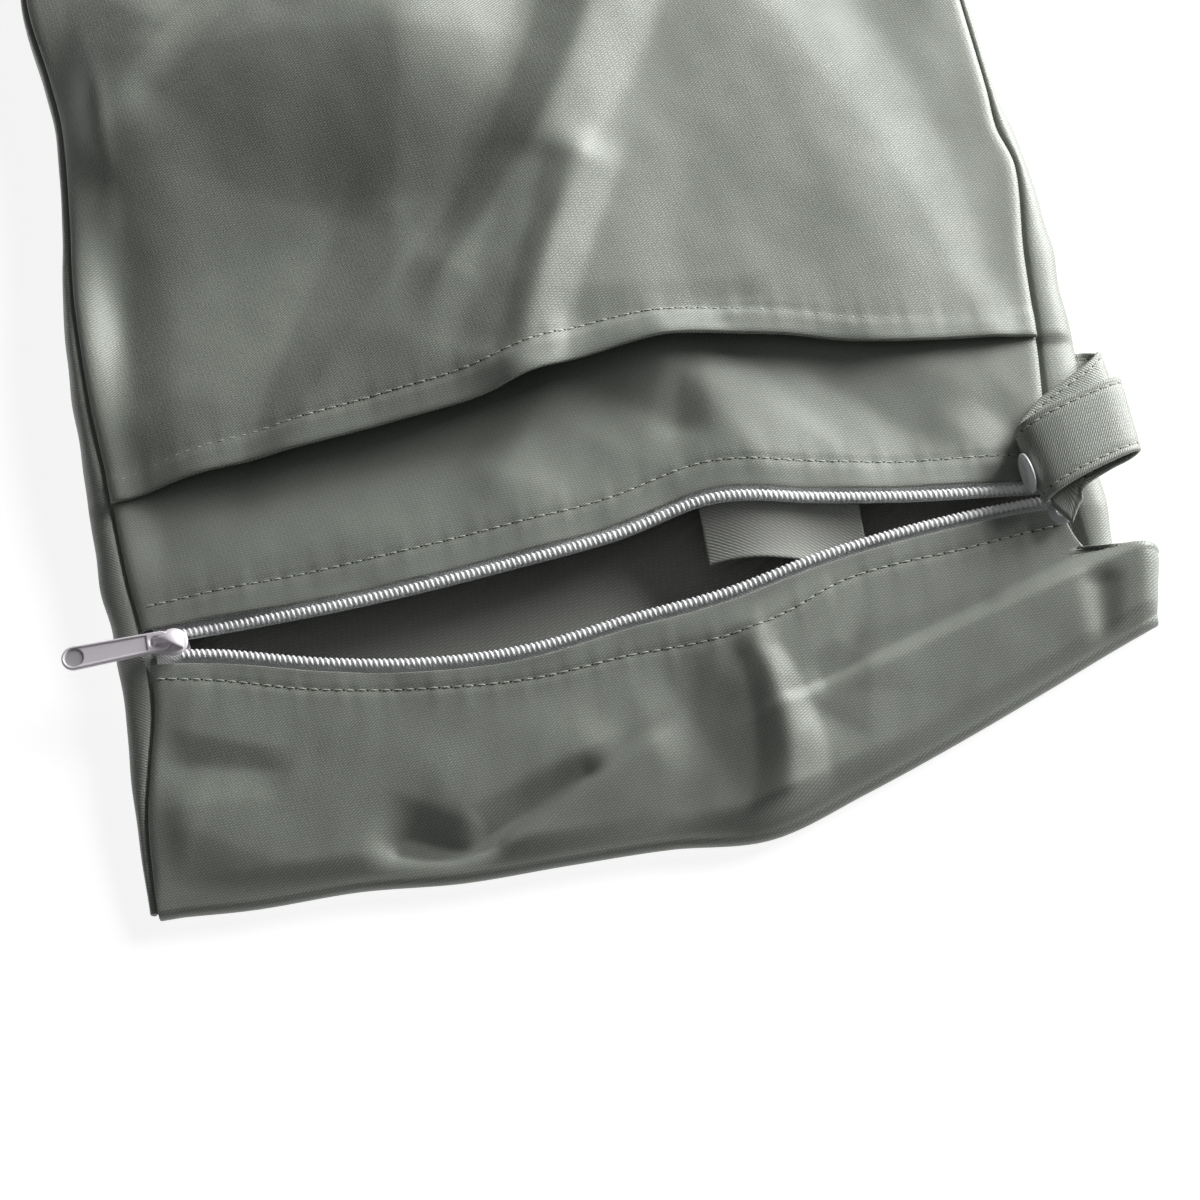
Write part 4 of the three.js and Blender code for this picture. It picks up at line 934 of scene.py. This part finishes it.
COIL_PITCH, COIL_WIRE = 1.54, 0.98
HEAD_SWELL = 0.28  # how much thicker the wire is at a head, as a share
CORE_RADIUS, CORE_FLATNESS = 1.05, 0.7
TURN_STEPS, CORE_STEPS = 14, 240
coil_lift = TAPE_THICKNESS / 2 + GAP + COIL_HEIGHT / 2
coil_start = slider_x + SLIDER_LENGTH / 4

# Nylon 6 monofilament: milky white, smooth and softly glossy
nylon = plain("nylon_monofilament", "#fbfbfc", 0.4, grain=600, contrast=0.03, depth=0.004)
# Cotton-polyester filler cord inside the turns: white, with a fine twist
filler = plain("filler_cord", "#f4f4f5", 0.7, grain=2500, contrast=0.05, depth=0.05)


def coil_line(which, x):
    """The line of a coil's middle at x: on its tape, lifted by half the tape, a gap and half the coil."""
    y = line(x, which)
    return np.stack((x, y, tape_height(which, x, y) + coil_lift), -1)


def tube_along(path, toward, radius, sides, tall=1.0):
    """A closed round tube along a path, as its points, its quads and the triangles of its two ends. toward is
    a direction near to square on the path, and the radius may change from point to point; tall stretches the
    tube square to toward."""
    tangent = np.gradient(path, axis=0)
    tangent /= np.linalg.norm(tangent, axis=1, keepdims=True)
    first = toward - np.einsum("ij,ij->i", toward, tangent)[:, None] * tangent
    first /= np.linalg.norm(first, axis=1, keepdims=True)
    second = np.cross(tangent, first) * tall
    angle = np.arange(sides) * 2 * np.pi / sides
    size = np.broadcast_to(radius, (len(path),)).copy()
    size[[0, -1]] *= 0.05
    ring = path[:, None] + size[:, None, None] * (
        np.cos(angle)[None, :, None] * first[:, None] + np.sin(angle)[None, :, None] * second[:, None]
    )
    points = np.concatenate((ring.reshape(-1, 3), path[:1], path[-1:]))
    faces = grid_faces(len(path), sides, around=True)
    k = np.arange(sides)
    after = (k + 1) % sides
    near = np.stack((np.full(sides, len(points) - 2), after, k), -1)
    last = (len(path) - 1) * sides
    end = np.stack((np.full(sides, len(points) - 1), last + k, last + after), -1)
    return points, faces, np.concatenate((near, end))


def joined(parts):
    """Points and triangles of several tubes as one mesh, with each one's look."""
    points, faces, looks, start = [], [], [], 0
    for (more, quads, caps), look in parts:
        triangles = np.concatenate((quads[:, [0, 1, 2]], quads[:, [0, 2, 3]], caps))
        points.append(more)
        faces.append(triangles + start)
        looks.append(np.full(len(triangles), look))
        start += len(more)
    return np.concatenate(points), np.concatenate(faces), np.concatenate(looks)


for which, free_side in (("upper", np.pi), ("lower", 0.0)):
    turns = int((zip_right - coil_start) / COIL_PITCH)
    angle = np.linspace(0, 2 * np.pi * turns, turns * TURN_STEPS)
    centre = coil_line(which, coil_start + (zip_right - coil_start) * angle / angle[-1])
    radial = np.stack((0 * angle, np.cos(angle), np.sin(angle)), -1)
    reach = np.array([0, (COIL_WIDTH - COIL_WIRE) / 2, (COIL_HEIGHT - COIL_WIRE) / 2])
    head = 1 + HEAD_SWELL * np.maximum(np.cos(angle - free_side), 0) ** 4
    wire = tube_along(centre + radial * reach, radial, COIL_WIRE / 2 * head, 6)
    core_line = coil_line(which, np.linspace(coil_start, zip_right, CORE_STEPS))
    core = tube_along(core_line, np.tile([0.0, 1, 0], (CORE_STEPS, 1)), CORE_RADIUS, 8, CORE_FLATNESS)
    points, faces, looks = joined(((wire, 0), (core, 1)))
    coil = mesh_piece("zip_coil_turns_" + which, points, faces, (nylon, filler), looks)
    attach(coil, "bag")
    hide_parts("zip_coil_" + which)

# Slider: a die-cast zinc body, painted pale, with two plates round the coils and a thick curled crown that
# holds the pull. The crown is narrow where the pull hangs and widens to the slider's blunt end.

PLATE_THICKNESS = 1
CHANNEL = TAPE_THICKNESS / 2 + GAP + COIL_HEIGHT + 2 * SLACK  # underside of the upper plate, over the tape
PLATE_TOP = CHANNEL + PLATE_THICKNESS
LOWER_PLATE_TOP = -TAPE_THICKNESS / 2 - SLACK
PLATE_DOME = 0.5
BLUNT_SHARE = 0.74  # the slider's narrow end as a share of its wide one
PULL_THICKNESS, PULL_LENGTH, PULL_WIDTH, PULL_TILT = 1.6, 32, 7.5, 5
BAR_REACH = PULL_THICKNESS * 0.5**0.5  # half the diagonal of the bar that turns in the crown
EYE_AXIS = BAR_REACH + GAP + SLACK
CROWN_RADIUS = EYE_AXIS + BAR_REACH + SLACK
CROWN_THICKNESS, CROWN_WIDTH = 1.2, 2.4

# Painted zinc: smooth stove enamel with a soft, slightly lilac white
enamel = plain("stove_enamel_on_zinc", "#e2dce3", 0.3, grain=900, contrast=0.015, depth=0.006, coat=0.3)


def capsule(x, y, x0, r0, x1, r1):
    """Signed distance to the outline round two circles on the X axis, negative inside: to one of the circles
    or, between them, to their common tangent."""
    lean = (r0 - r1) / (x1 - x0)
    level = np.sqrt(1 - lean**2)
    along = -lean * abs(y) + level * (x - x0)
    first = np.hypot(x - x0, y) - r0
    second = np.hypot(x - x1, y) - r1
    side = level * abs(y) + lean * (x - x0) - r0
    return np.where(along < 0, first, np.where(along > level * (x1 - x0), second, side))


def capsule_width(x, x0, r0, x1, r1):
    """Half the outline's width at x: two circle arcs and the straight tangents between them."""
    lean = (r0 - r1) / (x1 - x0)
    level = np.sqrt(1 - lean**2)
    first = np.sqrt(np.maximum(r0**2 - (x - x0) ** 2, 0))
    second = np.sqrt(np.maximum(r1**2 - (x - x1) ** 2, 0))
    straight = (r0 - lean * (x - x0)) / level
    return np.where(x < x0 + r0 * lean, first, np.where(x > x1 + r1 * lean, second, straight))


def cosine_steps(start, stop, count):
    """Places from start to stop that crowd to both, as (1 - cosine) / 2 of even steps."""
    return start + (stop - start) * (1 - np.cos(np.linspace(0, np.pi, count))) / 2


def moulded_plate(x_places, low_y, high_y, top, under):
    """A flat moulding in two mirrored halves. Each half runs from low_y to high_y over the x places, and its
    top and underside meet at both where they have one height. It closes once its doubles are merged."""
    t = np.sin(np.linspace(0, np.pi / 2, 26))
    points, faces, start = [], [], 0
    for mirror in (1, -1):
        x = np.repeat(x_places[:, None], len(t), 1)
        y = low_y[:, None] + (high_y - low_y)[:, None] * t
        for height, flip in ((top, False), (under, True)):
            grid = np.stack((x, mirror * y, height(x, y)), -1)
            quads = grid_faces(*x.shape, start)
            points.append(grid.reshape(-1, 3))
            faces.append(quads[:, ::-1] if flip != (mirror < 0) else quads)
            start += x.size
    return np.concatenate(points), np.concatenate(faces)


def rounded_edge(inside, radius):
    """Share of the full height at a distance inside the outline: a quarter circle of the radius given."""
    q = np.clip(inside / radius, 0, 1)
    return np.sqrt(1 - (1 - q) ** 2)


DOUBLES, NOTHING = 0.00002, 0.000001  # metres


def merge(piece):
    """Merge doubles, drop faces that have shrunk to nothing, and turn all faces outwards."""
    work = bmesh.new()
    work.from_mesh(piece.data)
    bmesh.ops.remove_doubles(work, verts=work.verts, dist=DOUBLES)
    bmesh.ops.dissolve_degenerate(work, edges=work.edges, dist=NOTHING)
    bmesh.ops.recalc_face_normals(work, faces=work.faces)
    work.to_mesh(piece.data)
    work.free()


place = np.array([slider_x, slider_y, slider_z])
narrow, wide = SLIDER_WIDTH / 2 * BLUNT_SHARE, SLIDER_WIDTH / 2
plate_outline = (-SLIDER_LENGTH / 2 + narrow, narrow, SLIDER_LENGTH / 2 - wide, wide)
plate_x = cosine_steps(-SLIDER_LENGTH / 2, SLIDER_LENGTH / 2, 60)
plate_y = capsule_width(plate_x, *plate_outline)
slider_points, slider_faces, start = [], [], 0
for low, high, dome in (
    (CHANNEL, PLATE_TOP, PLATE_DOME),
    (LOWER_PLATE_TOP - PLATE_THICKNESS, LOWER_PLATE_TOP, 0),
):
    half, centre = (high - low) / 2, (high + low) / 2

    def plate_top(x, y):
        """A plate's upper face: rounded at its outline, and domed by a smooth step of the way inside it."""
        inside = -capsule(x, y, *plate_outline)
        return centre + half * rounded_edge(inside, 0.9) + dome * smooth(0, 3, inside)

    def plate_under(x, y):
        """A plate's lower face: flat, and rounded at its outline."""
        return centre - half * rounded_edge(-capsule(x, y, *plate_outline), 0.4)

    more, quads = moulded_plate(plate_x, 0 * plate_y, plate_y, plate_top, plate_under)
    slider_points.append(more + place)
    slider_faces.append(quads + start)
    start += len(more)
points, faces = np.concatenate(slider_points), np.concatenate(slider_faces)
slider_body = mesh_piece("slider_body", points, faces, (enamel,))
merge(slider_body)

# The crown is a half ring whose tube is spread sideways, most at the slider's blunt end. The post between the
# two plates is a short upright tube of oval section.
CROWN_SIDES, CROWN_FLARE, CROWN_SINK = 14, 1.3, 0.2
POST_PLACE, POST_RADIUS = -SLIDER_LENGTH * 0.12, SLIDER_LENGTH * 0.15
arch = np.linspace(np.pi * 1.04, -0.04 * np.pi, 40)
radius = CROWN_RADIUS + CROWN_THICKNESS / 2
crown_z = PLATE_TOP - CROWN_SINK + radius * np.sin(arch)
crown_path = np.stack((radius * np.cos(arch), 0 * arch, crown_z), -1) + place
outward = np.stack((np.cos(arch), 0 * arch, np.sin(arch)), -1)
flare = CROWN_WIDTH / CROWN_THICKNESS * (1 + CROWN_FLARE * smooth(-0.35, 0.9, np.cos(arch)))
crown_points, crown_quads, crown_ends = tube_along(crown_path, outward, CROWN_THICKNESS / 2, CROWN_SIDES)
crown_points[:-2, 1] = place[1] + (crown_points[:-2, 1] - place[1]) * np.repeat(flare, CROWN_SIDES)
crown = (crown_points, crown_quads, crown_ends)
post_z = np.linspace(-1, CHANNEL + 0.5, 8)
post_path = place + np.stack((0 * post_z + POST_PLACE, 0 * post_z, post_z), -1)
post = tube_along(post_path, np.tile([1.0, 0, 0], (8, 1)), POST_RADIUS, 12, 0.45)
points, faces, looks = joined(((crown, 0), (post, 0)))
slider_crown = mesh_piece("slider_crown", points, faces, (enamel,))
for piece in (slider_body, slider_crown):
    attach(piece, "bag")
    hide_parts("zip_slider")

# Pull: a die-cast tab in the same enamel, with a raised rim, a round dimple at its tip and an oval eye at the
# crown. It turns on the crown, so it rides on its own body.

PULL_RIM, PULL_RECESS = 0.9, 0.3
PULL_ROUND, STEP = 0.5, 0.12  # the tab's rounded edges, and half the slope of a step in its face
NECK_SHARE = 0.84  # how wide the tab is at the crown, as a share of its tip
half_pull = PULL_WIDTH / 2
neck = half_pull * NECK_SHARE
tip_x = -PULL_LENGTH + half_pull
bar_radius = PULL_THICKNESS / 2
eye_reach = np.hypot(CROWN_RADIUS + CROWN_THICKNESS, EYE_AXIS) + 2 * SLACK
eye_half = CROWN_WIDTH / 2 + SLACK
pull_outline = (tip_x, half_pull, bar_radius - neck, neck)
eye_middle = -(eye_reach + bar_radius) / 2
eye_length = (eye_reach - bar_radius) / 2
panel_end = -eye_reach - PULL_RIM

# The dimple's floor: the same enamel, made greyer as painted shade in the dimple, and matt
dimple_shade_enamel = plain("enamel_with_painted_dimple_shade", "#b4b2b4", 0.55, grain=900, contrast=0.03, depth=0.01)


def eye_round(x, y):
    """Where a point lies against the eye's oval outline: 1 on it, more outside. A superellipse of power 3."""
    return (abs((x - eye_middle) / eye_length) ** 3 + abs(y / eye_half) ** 3) ** (1 / 3)


def pull_height(x, y):
    """Half the tab's thickness, rounded at its outline and at the eye."""
    edge = rounded_edge(-capsule(x, y, *pull_outline), PULL_ROUND)
    eye = rounded_edge((eye_round(x, y) - 1) * eye_half, PULL_ROUND)
    return PULL_THICKNESS / 2 * edge * eye


def pull_under(x, y):
    """The underside: as far below the tab's middle as pull_height says."""
    return -pull_height(x, y)


def pull_top(x, y):
    """The face: the panel sinks inside the rim, and the dimple sinks further."""
    inside = -capsule(x, y, *pull_outline)
    panel = smooth(PULL_RIM - STEP, PULL_RIM + STEP, inside) * smooth(0, 0.3, panel_end - x)
    dimple = smooth(-STEP, STEP, half_pull - PULL_RIM - np.hypot(x - tip_x, y))
    return pull_height(x, y) - PULL_RECESS * np.maximum(panel, dimple) - PULL_RECESS * dimple


eye_left, eye_right = eye_middle - eye_length, eye_middle + eye_length
pull_x = np.unique(np.concatenate((
    cosine_steps(-PULL_LENGTH, -PULL_LENGTH + 2, 14), np.linspace(-PULL_LENGTH + 2, eye_left, 100),
    cosine_steps(eye_left, eye_right, 28), cosine_steps(eye_right, bar_radius, 12),
)))
pull_y = capsule_width(pull_x, *pull_outline)
eye_y = eye_half * np.maximum(1 - abs((pull_x - eye_middle) / eye_length) ** 3, 0) ** (1 / 3)
points, faces = moulded_plate(pull_x, eye_y, np.maximum(pull_y, eye_y), pull_top, pull_under)
centres = points[faces].mean(1)
from_tip = np.hypot(centres[:, 0] - tip_x, centres[:, 1])
# Faces on the dimple's floor. They get the greyer enamel, which is painted shade in the dimple
shaded_dimple_face = (from_tip < half_pull - PULL_RIM - 0.05) & (centres[:, 2] > 0)
tilt = np.radians(PULL_TILT)
turned = np.stack((
    points[:, 0] * np.cos(tilt) - points[:, 2] * np.sin(tilt),
    points[:, 1],
    points[:, 0] * np.sin(tilt) + points[:, 2] * np.cos(tilt),
), -1)
turned = turned + place + np.array([0, 0, PLATE_TOP + EYE_AXIS])
pull_tab = mesh_piece("pull_tab", turned, faces, (enamel, dimple_shade_enamel), shaded_dimple_face)
merge(pull_tab)
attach(pull_tab, "pull")
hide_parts("zip_pull")

# Strap: a band of doubled twill, turned in and stitched along both edges. It is sewn in the right seam,
# folded over itself into a loop, and held by a plastic snap at its left fold.

STRAP_WIDTH, STRAP_THICKNESS = 25, 1.6
STRAP_LENGTH = 140  # its middle line, roughly
STRAP_ROOT = -0.4075  # where it leaves the seam, as a share of the bag's half length
SEWN_IN, SEWN_WIDE = 2.4, 0.8  # how far its stitched lines lie from its edges, and how wide they press it
# The strap's folded path, from its seam to its pointed tip. out and along are the places of its middle line
# from the seam, up is its height over the floor, and wide its own width there, all as shares of STRAP_WIDTH.
# turn is how far its width line is turned from the bag's length, in degrees.
STRAP_PATH = table(
    "out along up turn wide",
    (0, 0, 0.33, 4, 1),
    (0.18, 0, 0.33, 4, 1),
    (0.33, -0.07, 0.42, 4, 1),
    (0.3, -0.12, 0.56, 4, 1),
    (0.15, -0.26, 0.63, 4, 1),
    (-0.2, -0.47, 0.66, 5, 1),
    (-0.6, -0.7, 0.66, 6, 1),
    (-0.88, -0.98, 0.68, 8, 1),
    (-0.94, -1.09, 0.76, 9, 1),
    (-0.965, -1.12, 0.88, 9, 1),
    (-0.945, -1.12, 0.99, 9, 1),
    (-0.86, -1.09, 1.08, 8, 1),
    (-0.6, -0.99, 1.14, 7, 1),
    (-0.2, -0.86, 1.14, 5, 1),
    (0.15, -0.75, 1.09, 3, 1),
    (0.3, -0.7, 1.01, 1, 1),
    (0.32, -0.69, 0.93, 1, 1),
    (0.22, -0.73, 0.87, 2, 1),
    (-0.1, -0.83, 0.85, 5, 1),
    (-0.5, -1.01, 0.84, 12, 1),
    (-0.63, -1.23, 0.81, 25, 0.9),
    (-0.72, -1.75, 0.76, 34, 0.33),
)


def curve_through(knots, t):
    """A centripetal Catmull-Rom curve: Hermite cubics between the knots, with tangents weighted by the square
    roots of the distances between them. t runs from 0 to 1 over all the knots."""
    last = len(knots) - 1
    ends = np.concatenate(([2 * knots[0] - knots[1]], knots, [2 * knots[-1] - knots[-2]]))
    place = np.clip(t, 0, 1) * last
    i = np.minimum(np.floor(place).astype(int), last - 1)
    w = (place - i)[:, None]
    p0, p1, p2, p3 = ends[i], ends[i + 1], ends[i + 2], ends[i + 3]
    d0, d1, d2 = (((b - a) ** 2).sum(1)[:, None] ** 0.25 for a, b in ((p0, p1), (p1, p2), (p2, p3)))
    m1 = ((p1 - p0) / d0 - (p2 - p0) / (d0 + d1) + (p2 - p1) / d1) * d1
    m2 = ((p2 - p1) / d1 - (p3 - p1) / (d1 + d2) + (p3 - p2) / d2) * d1
    square, cube = -3 * p1 + 3 * p2 - 2 * m1 - m2, 2 * p1 - 2 * p2 + m1 + m2
    return p1 + m1 * w + square * w**2 + cube * w**3


root_y = STRAP_ROOT * HALF_LENGTH
at_root = np.array([root_y])
seam_share = float((section(at_root, "right") + section(at_root, "right_bulge"))[0])
root_x = HALF_WIDTH * seam_share + WALL / 2 + GAP + SLACK
strap_knots = STRAP_WIDTH * np.stack((STRAP_PATH["out"], STRAP_PATH["along"], STRAP_PATH["up"]), -1)
strap_knots += np.array([root_x, root_y, 0])


def strap_point(t, over):
    """A point of the strap's middle surface: along its curve by t, and over from -0.5 to 0.5 of its width."""
    rows = np.linspace(0, 1, len(strap_knots))
    turn = np.radians(np.interp(t, rows, STRAP_PATH["turn"]))
    wide = STRAP_WIDTH * np.interp(t, rows, STRAP_PATH["wide"])
    middle = curve_through(strap_knots, t)
    direction = np.stack((np.sin(turn), -np.cos(turn), 0 * turn), -1)
    return middle + direction * (over * wide)[:, None]


t = np.linspace(0, 1, 260)
over = rows_between(STRAP_WIDTH, 0.9)
grid_t, grid_over = np.meshgrid(t, 0.5 - over, indexing="ij")
middle = strap_point(grid_t.ravel(), grid_over.ravel()).reshape(*grid_t.shape, 3)
from_edge = np.minimum(over, 1 - over) * STRAP_WIDTH
pressed = 1 - 0.32 * np.exp(-(((from_edge - SEWN_IN) / SEWN_WIDE) ** 2))  # stitches press the layers together
strap_round = border_round(t, over, STRAP_LENGTH, STRAP_WIDTH, STRAP_THICKNESS, 0.8) * pressed
strap_cloth, flat, area = cloth_slab("strap_cloth", middle, strap_round, (twill, twill))
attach(strap_cloth, "bag")
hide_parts("strap")


def strap_edge_lines(face):
    """The two stitched lines, SEWN_IN mm from the strap's edges, on one face of it."""
    lines = []
    for side in (-1, 1):
        t = np.linspace(0.01, 0.93, 420)
        rows = np.linspace(0, 1, len(strap_knots))
        wide = STRAP_WIDTH * np.interp(t, rows, STRAP_PATH["wide"])
        over = side * (0.5 - SEWN_IN / wide)
        point = strap_point(t, over)
        beside = strap_point(t, over + 0.02) - strap_point(t, over - 0.02)
        normal = np.cross(np.gradient(point, axis=0), beside)
        normal *= face / np.linalg.norm(normal, axis=1, keepdims=True)
        lines.append((point + normal * STRAP_THICKNESS * 0.34, normal))
    return lines


strap_stitching = topstitch("strap_topstitch", strap_edge_lines(1) + strap_edge_lines(-1), thread=0.42)
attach(strap_stitching, "bag")

# Snap: a white resin cap pressed through the strap's left fold, and its socket under the tip

# Acetal resin: hard, white and evenly glossy
acetal = plain("moulded_acetal", "#c9cacb", 0.3, grain=700, contrast=0.02, depth=0.004)


DISC_STEPS = 48


def snap_disc(name, node, profile, centre, axis):
    """A turned disc: a profile of radius and height, in mm, carried round its axis in DISC_STEPS steps."""
    profile = np.array(profile, float)
    angle = np.arange(DISC_STEPS) * 2 * np.pi / DISC_STEPS
    axis = np.array(axis, float) / np.linalg.norm(axis)
    side = np.cross(axis, [0.13, 0.97, 0.2])
    side /= np.linalg.norm(side)
    other = np.cross(axis, side)
    ring = np.cos(angle)[:, None] * side + np.sin(angle)[:, None] * other
    points = (centre + profile[:, None, 1:] * axis + profile[:, None, :1] * ring[None]).reshape(-1, 3)
    piece = mesh_piece(name, points, grid_faces(len(profile), DISC_STEPS, around=True), (acetal,))
    merge(piece)
    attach(piece, "bag")
    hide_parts(node)


# Radius and height of each disc's outline, from the middle of its back round to the middle of its face
CAP_PROFILE = (
    (0, 0), (5.6, 0), (6.05, 0.15), (6.2, 0.45), (6.15, 0.8), (5.8, 1.15), (5.1, 1.35), (3.6, 1.48),
    (2.2, 1.5), (1.9, 1.38), (1.2, 1.34), (0, 1.33),
)
SOCKET_PROFILE = (
    (0, 0), (3.7, 0), (4, 0.3), (4, 0.9), (3.6, 1.3), (2.8, 1.45), (2.5, 1.8), (1.6, 1.8),
    (1.4, 1.2), (0, 1.2),
)
SOCKET_HEIGHT = 1.8
CAP_KNOT = 9  # the row of the strap's path in the middle of its left fold
tip_row = {key: STRAP_PATH[key][-1] for key in STRAP_PATH}
turn = np.radians(STRAP_PATH["turn"][CAP_KNOT])
cap_axis = np.array([-np.cos(turn), -np.sin(turn), 0])
cap_centre = strap_knots[CAP_KNOT] + (STRAP_THICKNESS / 2 + GAP + SLACK) * cap_axis
cap_centre += STRAP_WIDTH * 0.07 * np.array([np.sin(turn), -np.cos(turn), 0])
snap_disc("snap_cap_disc", "snap_cap", CAP_PROFILE, cap_centre, cap_axis)
socket_centre = np.array([
    root_x + STRAP_WIDTH * (tip_row["out"] + 0.03),
    root_y + STRAP_WIDTH * (tip_row["along"] + 0.08),
    STRAP_WIDTH * tip_row["up"] - STRAP_THICKNESS / 2 - GAP - SLACK - SOCKET_HEIGHT,
])
snap_disc("snap_socket_disc", "snap_socket", SOCKET_PROFILE, socket_centre, (0, 0, 1))

# Inner facing: a loose strip of the pale lining that hangs in the mouth from the upper tape, with its end
# curled. left and right are shares of the half width, start of the tape's width, reach of the half length,
# and drop and curl of the loft.

FACING = dict(left=0.18, right=0.5, start=0.7, reach=0.13, drop=0.22, curl=0.1)
FACING_LENGTH, FACING_WIDTH, FACING_THICKNESS = 27, 48, WALL * 0.8


def facing_point(along, over):
    """It falls from the tape by a smooth step of the drop, and its free edge curls up by a sine."""
    x = HALF_WIDTH * (FACING["left"] + (FACING["right"] - FACING["left"]) * over)
    y = line(x, "upper") + TAPE_WIDTH * FACING["start"] - HALF_LENGTH * FACING["reach"] * along
    under = tape_height("upper", x, y) - TAPE_THICKNESS / 2 - GAP - SLACK - WALL / 2
    curl = FACING["curl"] * np.sin(np.pi * over * 1.5) * along
    return np.stack((x, y, under - LOFT * (FACING["drop"] * smooth(0.1, 1, along) - curl)), -1)


along, over = rows_between(FACING_LENGTH, 0.8), rows_between(FACING_WIDTH, 0.8)
grid_along, grid_over = np.meshgrid(along, over, indexing="ij")
middle = facing_point(grid_along, grid_over)
facing_round = border_round(along, over, FACING_LENGTH, FACING_WIDTH, FACING_THICKNESS)
facing_cloth, flat, area = cloth_slab("facing_cloth", middle, facing_round, (knit, knit))
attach(facing_cloth, "bag")
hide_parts("inner_facing")

# Studio: a pale floor with soft daylight from the upper right and a faint fill from above, and the camera
# above the zip end


def lamp(name, direction, distance, size, power, colour):
    """A square area light that shines on the bag's zip end from a direction."""
    light = bpy.data.lights.new(name, "AREA")
    light.size = size
    light.energy = power
    light.color = linear(colour)[:3]
    lamp_object = bpy.data.objects.new(name, light)
    bpy.context.scene.collection.objects.link(lamp_object)
    direction = Vector(direction).normalized()
    lamp_object.location = Vector((0, -0.05, 0)) + direction * distance
    lamp_object.rotation_euler = direction.to_track_quat("Z", "Y").to_euler()


lamp("window_light", (0.8, 0.48, 0.27), 1.6, 1.2, 82, "#ffffff")
lamp("top_fill", (-0.1, -0.2, 1.0), 2.0, 2.0, 3, "#ffffff")

world = bpy.data.worlds.new("daylight")
world.use_nodes = True
world.node_tree.nodes["Background"].inputs["Color"].default_value = linear("#f2f4f6")
world.node_tree.nodes["Background"].inputs["Strength"].default_value = 0.07
bpy.context.scene.world = world

# White seamless paper: matt, with a faint fibre, and glowing by itself so that it comes out white
paper = bpy.data.materials.new("white_seamless_paper")
paper.use_nodes = True
tree = paper.node_tree
shader = tree.nodes["Principled BSDF"]
place = add_node(tree, "ShaderNodeTexCoord")
fibre = add_node(tree, "ShaderNodeTexNoise", {"Vector": place.outputs["Object"], "Scale": 60, "Detail": 4.0})
tone = add_node(tree, "ShaderNodeMapRange", {"Value": fibre.outputs["Fac"], "To Min": 0.34, "To Max": 0.36})
tree.links.new(tone.outputs[0], shader.inputs["Base Color"])
shader.inputs["Roughness"].default_value = 0.9
shader.inputs["Emission Color"].default_value = (1, 1, 1, 1)
shader.inputs["Emission Strength"].default_value = 0.85

FLOOR_REACH, FLOOR_Z = 3, -0.0006  # metres
floor_corners = [(FLOOR_REACH * u, FLOOR_REACH * v, FLOOR_Z) for u, v in ((-1, -1), (1, -1), (1, 1), (-1, 1))]
floor_mesh = bpy.data.meshes.new("floor")
floor_mesh.from_pydata(floor_corners, [], [(0, 1, 2, 3)])
floor_mesh.materials.append(paper)
floor = bpy.data.objects.new("floor", floor_mesh)
bpy.context.scene.collection.objects.link(floor)

CAMERA_TURN, CAMERA_RISE, CAMERA_DISTANCE = np.radians(-10), np.radians(68), 0.85
TARGET = Vector((-0.005929, -0.120843, 0))
PHOTO_WIDTH, PHOTO_FOCUS = 1200, 2822  # pixels
SENSOR = 36
camera_data = bpy.data.cameras.new("camera")
camera_data.sensor_width = SENSOR
camera_data.lens = SENSOR * PHOTO_FOCUS / PHOTO_WIDTH
camera_data.clip_start = 0.01
camera = bpy.data.objects.new("camera", camera_data)
bpy.context.scene.collection.objects.link(camera)
level = np.cos(CAMERA_RISE)
away = Vector((np.sin(CAMERA_TURN) * level, -np.cos(CAMERA_TURN) * level, np.sin(CAMERA_RISE)))
camera.location = TARGET + away * CAMERA_DISTANCE
camera.rotation_euler = away.to_track_quat("Z", "Y").to_euler()
bpy.context.scene.camera = camera
bpy.context.scene.view_settings.view_transform = "Standard"

bpy.context.view_layer.update()
